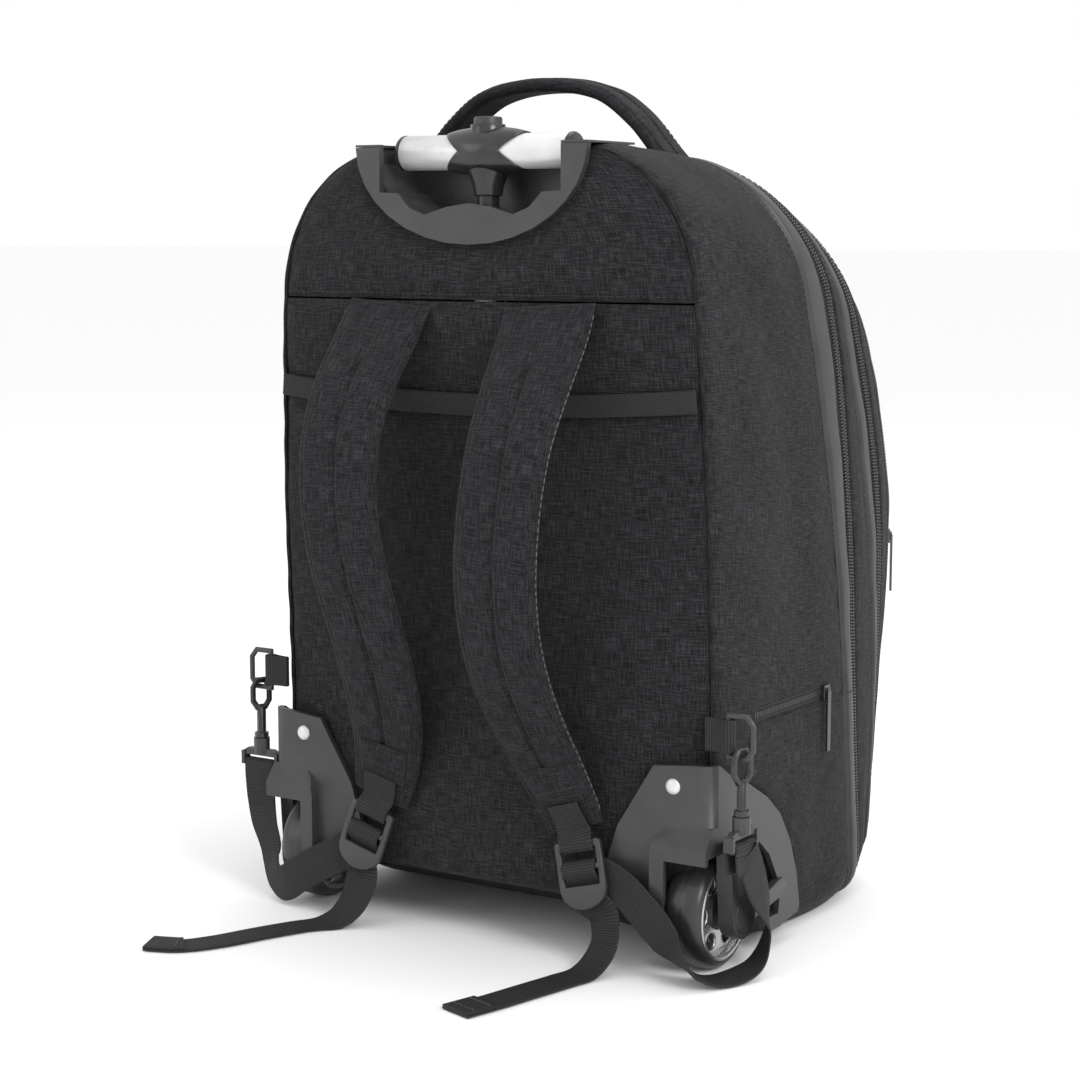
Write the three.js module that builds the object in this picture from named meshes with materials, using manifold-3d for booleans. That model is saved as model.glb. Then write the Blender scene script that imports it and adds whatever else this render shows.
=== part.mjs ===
// A wheeled backpack: a soft padded body, shoulder straps, a carry handle, a telescopic pole
// in a moulded cup, and two wheels in moulded housings at the lower back corners.
// Millimetres, +Z up, +X to the right seen from the harness, and the harness faces -Y.
import * as THREE from 'three';
import { mergeVertices } from 'three/addons/utils/BufferGeometryUtils.js';
import Module from 'manifold-3d';

const wasm = await Module();
wasm.setup();

// Body of the bag
const bagWidth = 337;
const bagHeight = 521;
const bagDepth = 305;
const seamY = -106;
const cloth = 2.4;
const gap = 0.3;
const sideDrawIn = 7.5;
const widestHeight = 200;
const topCornerWidth = 88;
const topCornerHeight = 98;
const baseCornerRadius = 24;
const backSeamHeight = bagHeight - topCornerHeight;
const backPadding = 9;
const backCrown = 12.5;
const backLowFullness = 0.7;
const backFullHeight = 160;
const backBaseHeight = 38;

// Pole, grip and their cup
const poleY = seamY + 11;
const gripDrop = 3.5;
const gripHeight = bagHeight - gripDrop;
const gripTubeRadius = 11.3;
const gripTubeWall = 1.2;
const gripTubeHalfLength = 63.5;
const gripCapLength = 3.5;
const yokeWidth = 60;
const stemRadius = 7.2;
const tubeWall = 1;
const tubeClearance = 0.4;
const middleTubeRadius = stemRadius + tubeClearance + tubeWall;
const outerTubeRadius = middleTubeRadius + tubeClearance + tubeWall;
const outerTubeFoot = 46;
const buttonRadius = 9.2;
const buttonRise = 6.5;
const buttonTravel = 3;
const buttonCollarWall = 1.8;
const buttonCollarRise = 1.5;
const buttonFloor = 1.2;
const cupDrop = 62.5;
const cupFrontY = seamY - 12.5;
const cupFlange = 5;
const cupDepth = 43;
const cupWall = 3;
const cupMouthRoom = 2.5;
const cupWellRoom = 10.5;
const cupFlangeLap = 8;
const cupMouthHalfWidth = gripTubeHalfLength + gripCapLength + cupMouthRoom;
const cupWellHalfWidth = gripTubeHalfLength + gripCapLength + cupWellRoom;
const cupHalfWidth = cupWellHalfWidth + cupWall + cupFlangeLap;
const cupShelfDrop = 29.5;
const cupFlangeRise = 1.4;

// Wheels and their housings
const wheelRadius = 38;
const wheelWidth = 27;
const wheelInset = 7;
const wheelY = seamY + 31;
const tyreThickness = 6;
const rimRadius = wheelRadius - tyreThickness;
const axleRadius = 4;
const housingProud = 5.5;
const housingOuterX = bagWidth / 2 + housingProud;
const wheelOuterX = housingOuterX - wheelInset;
const housingWall = 4;
const housingBackY = seamY - 2;
const hoodBackY = seamY - 10;
const hoodWidth = 40;
const hoodInnerX = housingOuterX - hoodWidth;
const hoodTop = 99;
const hoodLap = 1;
const wheelRoom = 2;
const wellRadius = wheelRadius + wheelRoom;
const wellInnerX = hoodInnerX + housingWall;
const wellMouthInset = 6;
const wellMouthX = wellInnerX + wellMouthInset;
const wellMouthTop = 77;
const hubRadius = 15.5;
const hubProud = 6.5;
const hubOuterX = housingOuterX + hubProud;
const hubInnerX = housingOuterX - housingWall - 0.4;
const hubCapRadius = 12;
const wheelTurns = 18;
const rivetRadius = 5.1;
const rivetInset = 27.6;
const rivetX = housingOuterX - rivetInset;
const rivetHeight = 123.3;

// Webbing and its hardware
const webWidth = 25;
const webThickness = 1.6;
const webReach = 16;
const strapWidth = 60;
const strapThickness = 13;
const strapBow = 77;
const strapReach = 22;
const lockWidth = 35;
const lockLength = 44;
const lockThickness = 3.4;
const lockBarRadius = 2.4;
const lockBarHeight = 5;
const lockX = 86.6;
const lockY = seamY - 13;
const lockZ = 60;
const strapEndRise = 28;
const hookX = bagWidth / 2 + 22;
const hookRod = 2.2;
const hookLoopHeight = 20;
const hookLoopWidth = 12.4;
const hookTurn = 25;
const hookShaft = 3.2;
const frameWidth = 32;
const frameThickness = 4.4;
const frameDrop = 67;
const frameBar = 4;
const frameSlot = 4.5;
const loopRod = 2;
const loopHeight = 26;
const tabWidth = 21;
const tabHalfThickness = 1.4;
const tabSleeveRadius = 4.2;
const loopReach = 17;
const bandWidth = 14;
const handleWidth = 36;
const handleReach = 24;
const handleThickness = 9.5;
const handleRise = 42;
const handleHalfSpan = 90;
const handleY = -20;
const sidePocketTop = 156;
const sidePocketFoot = 25;
const sidePocketRear = -60;
const sideZipWidth = 8.5;
const sideZipRear = -50;
const sideZipFront = 56;
const pullLength = 40;
const roundSides = 16;

const point = (x, y, z) => new THREE.Vector3(x, y, z);

// The two sides of the harness differ in the height of their loops and in the turn of their hooks.
const sides = [
  { name: 'right', side: 1, loopZ: 158, turn: 88 },
  { name: 'left', side: -1, loopZ: 163, turn: 0 },
];
const loopBarX = bagWidth / 2 + 12.5;
const loopY = seamY + 6;

function finish(color, roughness, metalness = 0) {
  return new THREE.MeshStandardMaterial({ color, roughness, metalness });
}

const melange = finish(0x35353a, 0.95);
const webbing = finish(0x1c1c1e, 0.85);
const zipTape = finish(0x17171a, 0.8);
const moulded = finish(0x3b3b3d, 0.6);
const glossBlack = finish(0x161617, 0.3);
const silverTube = finish(0xe2e2e2, 0.35, 0.3);
const brightMetal = finish(0xc9cacc, 0.3, 0.9);
const rubber = finish(0x222223, 0.6);

const group = new THREE.Group();

function add(name, geometry, material, parent = group) {
  const mesh = new THREE.Mesh(geometry, material);
  mesh.name = name;
  parent.add(mesh);
  return mesh;
}

// Smooth value of a table at x: cubic between its nodes, straight beyond them.
function smooth(nodes, values, x) {
  const last = nodes.length - 1;
  let i = 0;
  while (i < last - 1 && x > nodes[i + 1]) i += 1;
  const span = nodes[i + 1] - nodes[i];
  const t = (x - nodes[i]) / span;
  const slope = (k) => {
    const a = Math.max(k - 1, 0);
    const b = Math.min(k + 1, last);
    return (values[b] - values[a]) / (nodes[b] - nodes[a]);
  };
  if (t <= 0) return values[i] + slope(i) * (x - nodes[i]);
  if (t >= 1) return values[i + 1] + slope(i + 1) * (x - nodes[i + 1]);
  const t2 = t * t;
  const t3 = t2 * t;
  return (2 * t3 - 3 * t2 + 1) * values[i] + (t3 - 2 * t2 + t) * span * slope(i)
    + (3 * t2 - 2 * t3) * values[i + 1] + (t3 - t2) * span * slope(i + 1);
}

// Indexed geometry from points and triangles; triangles with two equal corners are left out,
// and all of them are turned over if they enclose a negative volume.
function closedGeometry(points, triangles) {
  const same = (a, b) => points[a].distanceToSquared(points[b]) < 1e-8;
  const kept = triangles.filter(([a, b, c]) => !same(a, b) && !same(b, c) && !same(c, a));
  let volume = 0;
  for (const [a, b, c] of kept) {
    volume += points[a].dot(points[b].clone().cross(points[c]));
  }
  const turned = volume < 0 ? kept.map(([a, b, c]) => [a, c, b]) : kept;
  const geometry = new THREE.BufferGeometry().setFromPoints(points);
  geometry.setIndex(turned.flat());
  const merged = mergeVertices(geometry, 1e-4);
  merged.computeVertexNormals();
  return merged;
}

// Wall between two grids of points; the columns close on themselves when looped is true.
function wallGeometry(outer, inner, looped) {
  const rows = outer.length;
  const cols = outer[0].length;
  const points = [...outer.flat(), ...inner.flat()];
  const at = (side, i, j) => side * rows * cols + i * cols + (j % cols);
  const triangles = [];
  const quad = (a, b, c, d) => triangles.push([a, b, c], [a, c, d]);
  const lastCol = looped ? cols : cols - 1;
  for (let j = 0; j < lastCol; j += 1) {
    for (let i = 0; i < rows - 1; i += 1) {
      quad(at(0, i, j), at(0, i, j + 1), at(0, i + 1, j + 1), at(0, i + 1, j));
      quad(at(1, i, j), at(1, i + 1, j), at(1, i + 1, j + 1), at(1, i, j + 1));
    }
    quad(at(0, 0, j), at(1, 0, j), at(1, 0, j + 1), at(0, 0, j + 1));
    quad(at(0, rows - 1, j), at(0, rows - 1, j + 1), at(1, rows - 1, j + 1), at(1, rows - 1, j));
  }
  if (!looped) {
    for (let i = 0; i < rows - 1; i += 1) {
      quad(at(0, i, 0), at(0, i + 1, 0), at(1, i + 1, 0), at(1, i, 0));
      quad(at(0, i, cols - 1), at(1, i, cols - 1), at(1, i + 1, cols - 1), at(0, i + 1, cols - 1));
    }
  }
  return closedGeometry(points, triangles);
}

// Skin over rings of equal length, with a fan from the middle of each end ring.
function sweepGeometry(rings) {
  const count = rings[0].length;
  const points = rings.flat();
  const middle = (ring) => ring.reduce((sum, p) => sum.add(p), point(0, 0, 0)).divideScalar(count);
  const firstMiddle = points.push(middle(rings[0])) - 1;
  const lastMiddle = points.push(middle(rings[rings.length - 1])) - 1;
  const triangles = [];
  for (let j = 0; j < count; j += 1) {
    const k = (j + 1) % count;
    for (let i = 0; i < rings.length - 1; i += 1) {
      const a = i * count;
      triangles.push([a + j, a + k, a + count + k], [a + j, a + count + k, a + count + j]);
    }
    const end = (rings.length - 1) * count;
    triangles.push([firstMiddle, k, j], [lastMiddle, end + j, end + k]);
  }
  return closedGeometry(points, triangles);
}

function toSolid(geometry) {
  const bare = geometry.clone();
  bare.deleteAttribute('normal');
  bare.deleteAttribute('uv');
  const merged = mergeVertices(bare, 1e-4);
  return new wasm.Manifold(new wasm.Mesh({
    numProp: 3,
    vertProperties: new Float32Array(merged.attributes.position.array),
    triVerts: new Uint32Array(merged.index.array),
  }));
}

function toGeometry(solid) {
  const mesh = solid.getMesh();
  const geometry = new THREE.BufferGeometry();
  geometry.setAttribute('position', new THREE.BufferAttribute(mesh.vertProperties, 3));
  geometry.setIndex(new THREE.BufferAttribute(mesh.triVerts, 1));
  geometry.computeVertexNormals();
  return geometry;
}

function join(...geometries) {
  return toGeometry(geometries.map(toSolid).reduce((all, next) => all.add(next)));
}

function cut(geometry, ...tools) {
  return toGeometry(tools.map(toSolid).reduce((left, tool) => left.subtract(tool), toSolid(geometry)));
}

function common(...geometries) {
  return toGeometry(geometries.map(toSolid).reduce((all, next) => all.intersect(next)));
}

function mirrored(geometry) {
  const copy = geometry.clone();
  copy.scale(-1, 1, 1);
  const index = copy.index.array;
  for (let i = 0; i < index.length; i += 3) {
    [index[i + 1], index[i + 2]] = [index[i + 2], index[i + 1]];
  }
  copy.computeVertexNormals();
  return copy;
}

// Flat outline pushed along one axis: pairs are (x, z) along Y, (y, z) along X or (x, y) along Z.
function prism(axis, pairs, from, to) {
  const shape = new THREE.Shape(pairs.map(([u, v]) => new THREE.Vector2(u, v)));
  const geometry = new THREE.ExtrudeGeometry(shape, { depth: to - from, bevelEnabled: false });
  if (axis === 'Y') return geometry.rotateX(Math.PI / 2).translate(0, to, 0);
  if (axis === 'X') {
    const turn = new THREE.Matrix4().makeBasis(point(0, 1, 0), point(0, 0, 1), point(1, 0, 0));
    return geometry.applyMatrix4(turn).translate(from, 0, 0);
  }
  return geometry.translate(0, 0, from);
}

function block(x0, x1, y0, y1, z0, z1) {
  const geometry = new THREE.BoxGeometry(x1 - x0, y1 - y0, z1 - z0);
  return geometry.translate((x0 + x1) / 2, (y0 + y1) / 2, (z0 + z1) / 2);
}

// Cylinder along one axis between two places on it.
function rod(axis, radius, from, to, centre, sides = roundSides) {
  const geometry = new THREE.CylinderGeometry(radius, radius, to - from, sides);
  if (axis === 'X') geometry.rotateZ(Math.PI / 2);
  if (axis === 'Z') geometry.rotateX(Math.PI / 2);
  const place = centre.clone();
  place[axis.toLowerCase()] = (from + to) / 2;
  return geometry.translate(place.x, place.y, place.z);
}

// Arc of (u, v) pairs round a centre, angles in degrees.
function arc(u, v, radiusU, radiusV, from, to, steps) {
  return Array.from({ length: steps + 1 }, (_, i) => {
    const a = THREE.MathUtils.degToRad(from + (to - from) * i / steps);
    return [u + radiusU * Math.cos(a), v + radiusV * Math.sin(a)];
  });
}

// Half width of the body at a height, before any ring's own bulge: an ellipse at the top
// corner above sides that draw in slowly away from the widest height.
function sideAt(halfWidth, top, z) {
  const cornerZ = top - topCornerHeight;
  const drawn = (height) => sideDrawIn * ((height - widestHeight) / (backSeamHeight - widestHeight)) ** 2;
  if (z <= cornerZ) return halfWidth - drawn(z);
  const rise = Math.min((z - cornerZ) / topCornerHeight, 1);
  return halfWidth - drawn(cornerZ) - topCornerWidth * (1 - Math.sqrt(1 - rise * rise));
}

// The rings that the body's panels meet at. Width and heights are shares of the body's half
// width and height. The depths behind the back seam, shares of the body's depth, are taken
// at the base, low on the side, at the middle, at the shoulder and at the crown.
const ringColumns = ['width', 'top', 'base', 'atBase', 'atLow', 'atMiddle', 'atShoulder', 'atCrown'];
const ringTable = {
  backSeam: [1.0, 1.0, backBaseHeight / bagHeight, 0.025, 0.035, 0.019, 0.0, 0.003],
  gussetBack: [1.002, 0.998, 0.045, 0.18, 0.19, 0.17, 0.14, 0.12],
  gussetMiddle: [1.006, 0.993, 0.0, 0.37, 0.38, 0.35, 0.29, 0.24],
  mainZipBack: [1.015, 0.988, 0.0, 0.72, 0.62, 0.54, 0.46, 0.37],
  mainZipFront: [1.012, 0.984, 0.012, 0.765, 0.675, 0.635, 0.585, 0.43],
  frontZipBack: [0.985, 0.965, 0.034, 0.825, 0.8, 0.745, 0.645, 0.53],
  frontZipFront: [0.975, 0.953, 0.042, 0.845, 0.83, 0.83, 0.73, 0.56],
  pocketZipBack: [0.92, 0.92, 0.055, 0.895, 0.91, 0.935, 0.82, 0.66],
  pocketZipFront: [0.89, 0.902, 0.07, 0.925, 0.94, 0.965, 0.85, 0.69],
  frontEdge: [0.72, 0.83, 0.135, 0.96, 0.975, 1.0, 0.9, 0.76],
  frontFace: [0.45, 0.71, 0.23, 0.975, 0.99, 1.01, 0.93, 0.86],
  frontMiddle: [0.2, 0.58, 0.34, 0.985, 0.995, 1.013, 0.96, 0.9],
};
const ringNames = Object.keys(ringTable);
const depthHeights = [0.02, 0.3, 0.55, 0.8, 1.0];
const sideBulge = 3.5;
const sideSteps = 5;
const cornerSteps = 5;

function ring(name) {
  return Object.fromEntries(ringTable[name].map((value, i) => [ringColumns[i], value]));
}

function ringDepth(r, z) {
  const values = [r.atBase, r.atLow, r.atMiddle, r.atShoulder, r.atCrown];
  return seamY + bagDepth * smooth(depthHeights.map((h) => h * bagHeight), values, z);
}

// The stuffed sides swell a little at half height; the back seam stays straight.
function bulgeAt(r, z) {
  return r.atMiddle < 0.1 ? 0 : sideBulge * Math.sin(Math.PI * z / bagHeight) ** 2;
}

// Half outline of a ring from the middle of its base round to the middle of its crown.
function halfOutline(r) {
  const halfWidth = r.width * bagWidth / 2;
  const top = r.top * bagHeight;
  const base = r.base * bagHeight;
  const squeeze = Math.min(1, halfWidth / (1.5 * topCornerWidth));
  const corner = Math.min(baseCornerRadius, halfWidth / 3);
  const low = sideAt(halfWidth, top, base + corner);
  const out = [[0, base], [low * 0.5, base], [low - corner, base]];
  out.push(...arc(low - corner, base + corner, corner, corner, -60, 0, 2));
  const start = base + corner;
  const cornerZ = top - topCornerHeight * squeeze;
  for (let i = 1; i <= sideSteps; i += 1) {
    const z = start + (cornerZ - start) * i / sideSteps;
    out.push([sideAt(halfWidth, top, Math.min(z, top - topCornerHeight)) + bulgeAt(r, z), z]);
  }
  const side = out[out.length - 1][0];
  const cornerWidth = topCornerWidth * squeeze;
  const round = arc(side - cornerWidth, cornerZ, cornerWidth, top - cornerZ, 0, 90, cornerSteps);
  out.push(...round.slice(1));
  out.push([(side - cornerWidth) * 0.5, top], [0, top]);
  return out;
}

function ringPoints(r) {
  const half = halfOutline(r);
  const whole = [...half, ...half.slice(1, -1).reverse().map(([x, z]) => [-x, z])];
  return whole.map(([x, z]) => point(x, ringDepth(r, z), z));
}

const surface = ringNames.map((name) => ringPoints(ring(name)));
const frontCentre = ring('frontMiddle');
const frontCentreZ = bagHeight * (frontCentre.top + frontCentre.base) / 2;
const frontPole = point(0, ringDepth(frontCentre, frontCentreZ) + 1, frontCentreZ);
surface.push(surface[0].map(() => frontPole.clone()));

// Outward normals of the body's surface, from the differences along and across its rings.
const surfaceNormals = surface.map((row, i) => row.map((p, j) => {
  const count = row.length;
  const next = row[(j + 1) % count];
  const before = row[(j + count - 1) % count];
  const ahead = surface[Math.min(i + 1, surface.length - 1)][j];
  const behind = surface[Math.max(i - 1, 0)][j];
  const normal = next.clone().sub(before).cross(behind.clone().sub(ahead));
  return normal.lengthSq() > 1e-9 ? normal.normalize() : point(0, 1, 0);
}));

const rowOf = (name) => ringNames.indexOf(name);

// Where a ring passes a height on the +X side.
function sidePlace(name, z) {
  const r = ring(name);
  const x = sideAt(r.width * bagWidth / 2, r.top * bagHeight, z) + bulgeAt(r, z);
  return point(x, ringDepth(r, z), z);
}

// Outer face of the body's side at a depth and a height.
function sideFace(y, z) {
  const places = ringNames.map((name) => sidePlace(name, z));
  let i = 0;
  while (i < places.length - 2 && y > places[i + 1].y) i += 1;
  const share = (y - places[i].y) / (places[i + 1].y - places[i].y);
  return places[i].x + (places[i + 1].x - places[i].x) * share;
}

// One cloth panel of the body between two rings, lifted off the surface and of one thickness.
function bodyPanel(from, to, lift = 0, thickness = cloth) {
  const rows = surface.slice(from, to + 1);
  const edged = rows.map((row, i) => row.map((p, j) => {
    const inside = i === 0 ? rows[1][j] : rows[i - 1][j];
    const isEdge = i === 0 || (i === rows.length - 1 && to < surface.length - 1);
    if (!isEdge) return p.clone();
    return p.clone().add(inside.clone().sub(p).setLength(gap / 2));
  }));
  const move = (by) => edged.map((row, i) => row.map((p, j) => (
    p.clone().addScaledVector(surfaceNormals[from + i][j], by))));
  return wallGeometry(move(lift), move(lift - thickness), true);
}

// Outer face of the padded back at a place on it: the seam's depth and a crown towards the harness.
function backFace(x, z) {
  const r = ring('backSeam');
  const halfWidth = sideAt(bagWidth / 2, bagHeight, z);
  const rise = Math.max(z - backBaseHeight, 0) / (backFullHeight - backBaseHeight);
  const fullness = Math.min(1, backLowFullness + (1 - backLowFullness) * rise);
  const share = Math.min(Math.abs(x) / halfWidth, 1);
  return ringDepth(r, z) + 0.4 - backCrown * fullness * (1 - share ** 2.1);
}

// Half width of the space inside the rear edge of the side cloth at a height.
const rearEdge = surface[0].slice(0, surface[0].length / 2 + 1).map((p, j) => (
  p.clone().addScaledVector(surfaceNormals[0][j], -cloth - 2 * gap)));

function rearHalfWidth(z) {
  let i = 1;
  while (i < rearEdge.length - 3 && z > rearEdge[i + 1].z) i += 1;
  const share = (z - rearEdge[i].z) / Math.max(rearEdge[i + 1].z - rearEdge[i].z, 1e-6);
  return rearEdge[i].x + (rearEdge[i + 1].x - rearEdge[i].x) * Math.min(Math.max(share, 0), 1);
}

// Padded panel of the back between two heights, inside the rear edge of the side cloth.
function backPanel(fromZ, toZ, rows) {
  const cols = 11;
  const grid = (inset) => Array.from({ length: rows + 1 }, (_, i) => {
    const z = fromZ + (toZ - fromZ) * i / rows;
    const halfWidth = rearHalfWidth(z);
    return Array.from({ length: cols }, (_, j) => {
      const x = halfWidth * (2 * j / (cols - 1) - 1);
      return point(x, backFace(x, z) + inset, z);
    });
  });
  return wallGeometry(grid(0), grid(backPadding), false);
}

// The moulded cup that the grip rests in: a half-moon flange, a well behind it and a top rim.
const halfMoon = (halfWidth, drop) => [
  [-halfWidth, bagHeight],
  ...arc(0, bagHeight, halfWidth, drop, 180, 360, 16).slice(1, -1),
  [halfWidth, bagHeight],
];

// Wavy lower lip of the cup's mouth: side shelves, two dips and a crest between them.
const lipShares = [[1, -0.02], [0.8, 0.0], [0.66, 0.32], [0.49, 0.47], [0.25, 0.31], [0, 0.23]];

function mouthOutline(halfWidth, clearTop) {
  const shelf = bagHeight - cupShelfDrop;
  const right = lipShares.map(([u, v]) => [u * halfWidth, shelf - v * cupShelfDrop]);
  const left = right.slice(0, -1).map(([x, z]) => [-x, z]).reverse();
  return [[halfWidth, clearTop], ...right, ...left, [-halfWidth, clearTop]];
}

const cupTop = bagHeight + gap + cupFlangeRise;
const cupBackY = cupFrontY + cupFlange + cupDepth;
const cupRimBackY = cupBackY + 10;
const wellDepthTop = cupTop + 5;

function handleCup() {
  const flange = prism('Y', halfMoon(cupHalfWidth, cupDrop), cupFrontY, cupFrontY + cupFlange);
  const tub = prism('Y', halfMoon(cupWellHalfWidth + cupWall, cupDrop - 6), cupFrontY + 1, cupBackY);
  const rim = block(-cupHalfWidth, cupHalfWidth, cupFrontY, cupRimBackY, bagHeight + gap, cupTop);
  const neck = block(-cupWellHalfWidth - cupWall, cupWellHalfWidth + cupWall,
    cupFrontY + 1, cupBackY, bagHeight - 1, cupTop - 0.5);
  const mouth = prism('Y', mouthOutline(cupMouthHalfWidth, wellDepthTop), cupFrontY - 1, cupFrontY + cupFlange + 1);
  const wellLow = prism('Y', halfMoon(cupWellHalfWidth - 3, cupDrop - 6 - 2 * cupWall), cupFrontY + cupFlange,
    cupBackY - cupWall);
  const wellHigh = block(-cupWellHalfWidth, cupWellHalfWidth, cupFrontY + cupFlange, cupBackY - cupWall,
    bagHeight - cupShelfDrop, wellDepthTop);
  const wellNeck = block(-cupWellHalfWidth + 3.5, cupWellHalfWidth - 3.5, cupFrontY + cupFlange,
    cupBackY - cupWall, bagHeight - 4, wellDepthTop);
  const poleHole = rod('Z', middleTubeRadius + tubeClearance, bagHeight - cupDrop - 5, bagHeight, point(0, poleY, 0));
  const solid = join(flange, tub, rim, neck);
  const rounded = common(wellHigh, prism('Y', halfMoon(cupWellHalfWidth, cupDrop - 9), cupFrontY, cupBackY));
  return cut(solid, mouth, wellLow, rounded, wellNeck, poleHole);
}

const cupClearance = join(
  prism('Y', halfMoon(cupHalfWidth + gap, cupDrop + gap), cupFrontY - 5, cupFrontY + cupFlange + gap),
  prism('Y', halfMoon(cupWellHalfWidth + cupWall + gap, cupDrop - 6 + gap), cupFrontY, cupBackY + gap),
  block(-cupWellHalfWidth - cupWall - gap, cupWellHalfWidth + cupWall + gap,
    cupFrontY - 5, cupBackY + gap, bagHeight - 3, wellDepthTop),
);

// Pole: a fixed outer tube, a middle tube and the stem, nested with one clearance.
function tube(radius, from, to) {
  const centre = point(0, poleY, 0);
  return cut(rod('Z', radius, from, to, centre, 12), rod('Z', radius - tubeWall, from - 1, to + 1, centre, 12));
}

const cupFloor = bagHeight - cupDrop + 6;
const outerTubeTop = cupFloor - gap;
const poleChannel = rod('Z', outerTubeRadius + gap, outerTubeFoot - 8, outerTubeTop + 2, point(0, poleY, 0), 12);
const middleTubeTop = outerTubeTop - 1;
const stemTop = gripHeight - gripTubeRadius - 4;

// The button's well ends just above the grip tubes, and the button rests its travel above that.
const buttonWellZ = gripHeight + gripTubeRadius + buttonFloor;
const buttonSeatZ = buttonWellZ + gap + buttonTravel;

// Saddle-shaped yoke: flattened ellipses in its long direction, fuller in the middle.
function gripYoke() {
  const stations = [
    { x: -1, tall: 0.8, deep: 0.97 },
    { x: -0.5, tall: 0.98, deep: 1.12 },
    { x: 0, tall: 1.08, deep: 1.2 },
    { x: 0.5, tall: 0.98, deep: 1.12 },
    { x: 1, tall: 0.8, deep: 0.97 },
  ];
  const reach = gripTubeRadius + 3.2;
  const body = sweepGeometry(stations.map((s) => (
    arc(0, 0, reach * s.deep, reach * s.tall, 0, 330, 11).map(([y, z]) => (
      point(s.x * yokeWidth / 2, poleY + y, gripHeight + z + 0.5))))));
  const neckTop = gripHeight - 6;
  const neckShares = [[1.28, 0], [1.3, 0.35], [1.65, 0.7], [2.3, 1]];
  const neckLength = neckTop - (stemTop - 12);
  const neck = sweepGeometry(neckShares.map(([wide, up]) => (
    arc(0, 0, stemRadius * wide, stemRadius * Math.min(wide, 1.5), 0, 330, 11).map(([x, y]) => (
      point(x, poleY + y, stemTop - 12 + up * neckLength))))));
  const notch = (side) => prism('Y', [
    [side * yokeWidth * 0.26, gripHeight],
    [side * (yokeWidth * 0.5 + 2), gripHeight - 16],
    [side * (yokeWidth * 0.5 + 2), gripHeight + 15],
  ], poleY - 30, poleY - gripTubeRadius * 0.2);
  const bore = rod('X', gripTubeRadius + gap + 0.2, -yokeWidth, yokeWidth, point(0, poleY, gripHeight));
  const web = block(-2, 2, poleY - gripTubeRadius - 1, poleY + gripTubeRadius + 1, gripHeight - 14, gripHeight + 14);
  const well = rod('Z', buttonRadius + gap, buttonWellZ, gripHeight + 30, point(0, poleY, 0));
  const collar = rod('Z', buttonRadius + gap + buttonCollarWall, gripHeight, buttonSeatZ + buttonCollarRise,
    point(0, poleY, 0));
  const plug = rod('Z', stemRadius + 0.5, stemTop - 30, stemTop + gap, point(0, poleY, 0));
  const shell = cut(join(body, neck, collar), notch(-1), notch(1));
  return { shell, bore, web, well, plug };
}

function gripParts() {
  const { shell, bore, web, well, plug } = gripYoke();
  add('grip_yoke', cut(join(cut(shell, bore), web), well, plug), glossBlack);
  for (const [name, side] of [['left', -1], ['right', 1]]) {
    const inner = 2 + gap;
    const centre = point(0, poleY, gripHeight);
    const skin = rod('X', gripTubeRadius, inner, gripTubeHalfLength, centre);
    const bored = cut(skin, rod('X', gripTubeRadius - gripTubeWall, inner - 1, gripTubeHalfLength + 1, centre));
    const cap = rod('X', gripTubeRadius + 0.3, gripTubeHalfLength + gap, gripTubeHalfLength + gripCapLength, centre);
    add(`grip_tube_${name}`, side < 0 ? mirrored(bored) : bored, silverTube);
    add(`grip_cap_${name}`, side < 0 ? mirrored(cap) : cap, glossBlack);
  }
  add('push_button', rod('Z', buttonRadius, buttonSeatZ, buttonSeatZ + buttonRise, point(0, poleY, 0)), glossBlack);
}

// Wheel housing on the +X side: a wrapped corner plate, a hood over the wheel and an axle arm.
// The side outlines give depths from the axle, the back outline widths from the outer side.
const sideOutline = [
  [-47, 139], [-23, 138], [-10, 130], [18, 118], [42, 105], [61, 90], [76, 69], [86, 45],
  [91, 22], [89, 17], [72, 15], [53, 12], [31, 18], [15, 26], [-47, 26],
].map(([y, z]) => [wheelY + y, z]);
const backOutline = [
  [-42, 135], [-14, 138], [16, 139], [16, 5], [-24, 26], [-86, 32], [-82, 50], [-77, 66], [-68, 93],
].map(([x, z]) => [housingOuterX + x, z]);
const openingOutline = [
  [0, 82], [30, 79], [46, 66], [59, 46], [62, 36], [60, 23], [31, 24], [15, 20], [0, 20],
].map(([y, z]) => [wheelY + y, z]);

function wheelWell() {
  const centre = point(0, wheelY, wheelRadius);
  const round = rod('X', wellRadius, wellInnerX, housingOuterX + 10, centre, wheelTurns);
  const low = block(wellInnerX, housingOuterX + 10, hoodBackY + housingWall, wheelY + wellRadius, -5, wheelRadius);
  const rear = block(wellInnerX, housingOuterX + 10, hoodBackY + housingWall, wheelY, -5, wellMouthTop + 4);
  const mouth = block(wellMouthX, housingOuterX + 10, hoodBackY - 5, wheelY, -5, wellMouthTop);
  const front = prism('X', openingOutline, housingOuterX - housingWall - 6, housingOuterX + 10);
  return [round, low, rear, mouth, front];
}

const hoodRadius = wellRadius + housingWall - 0.5;

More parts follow.
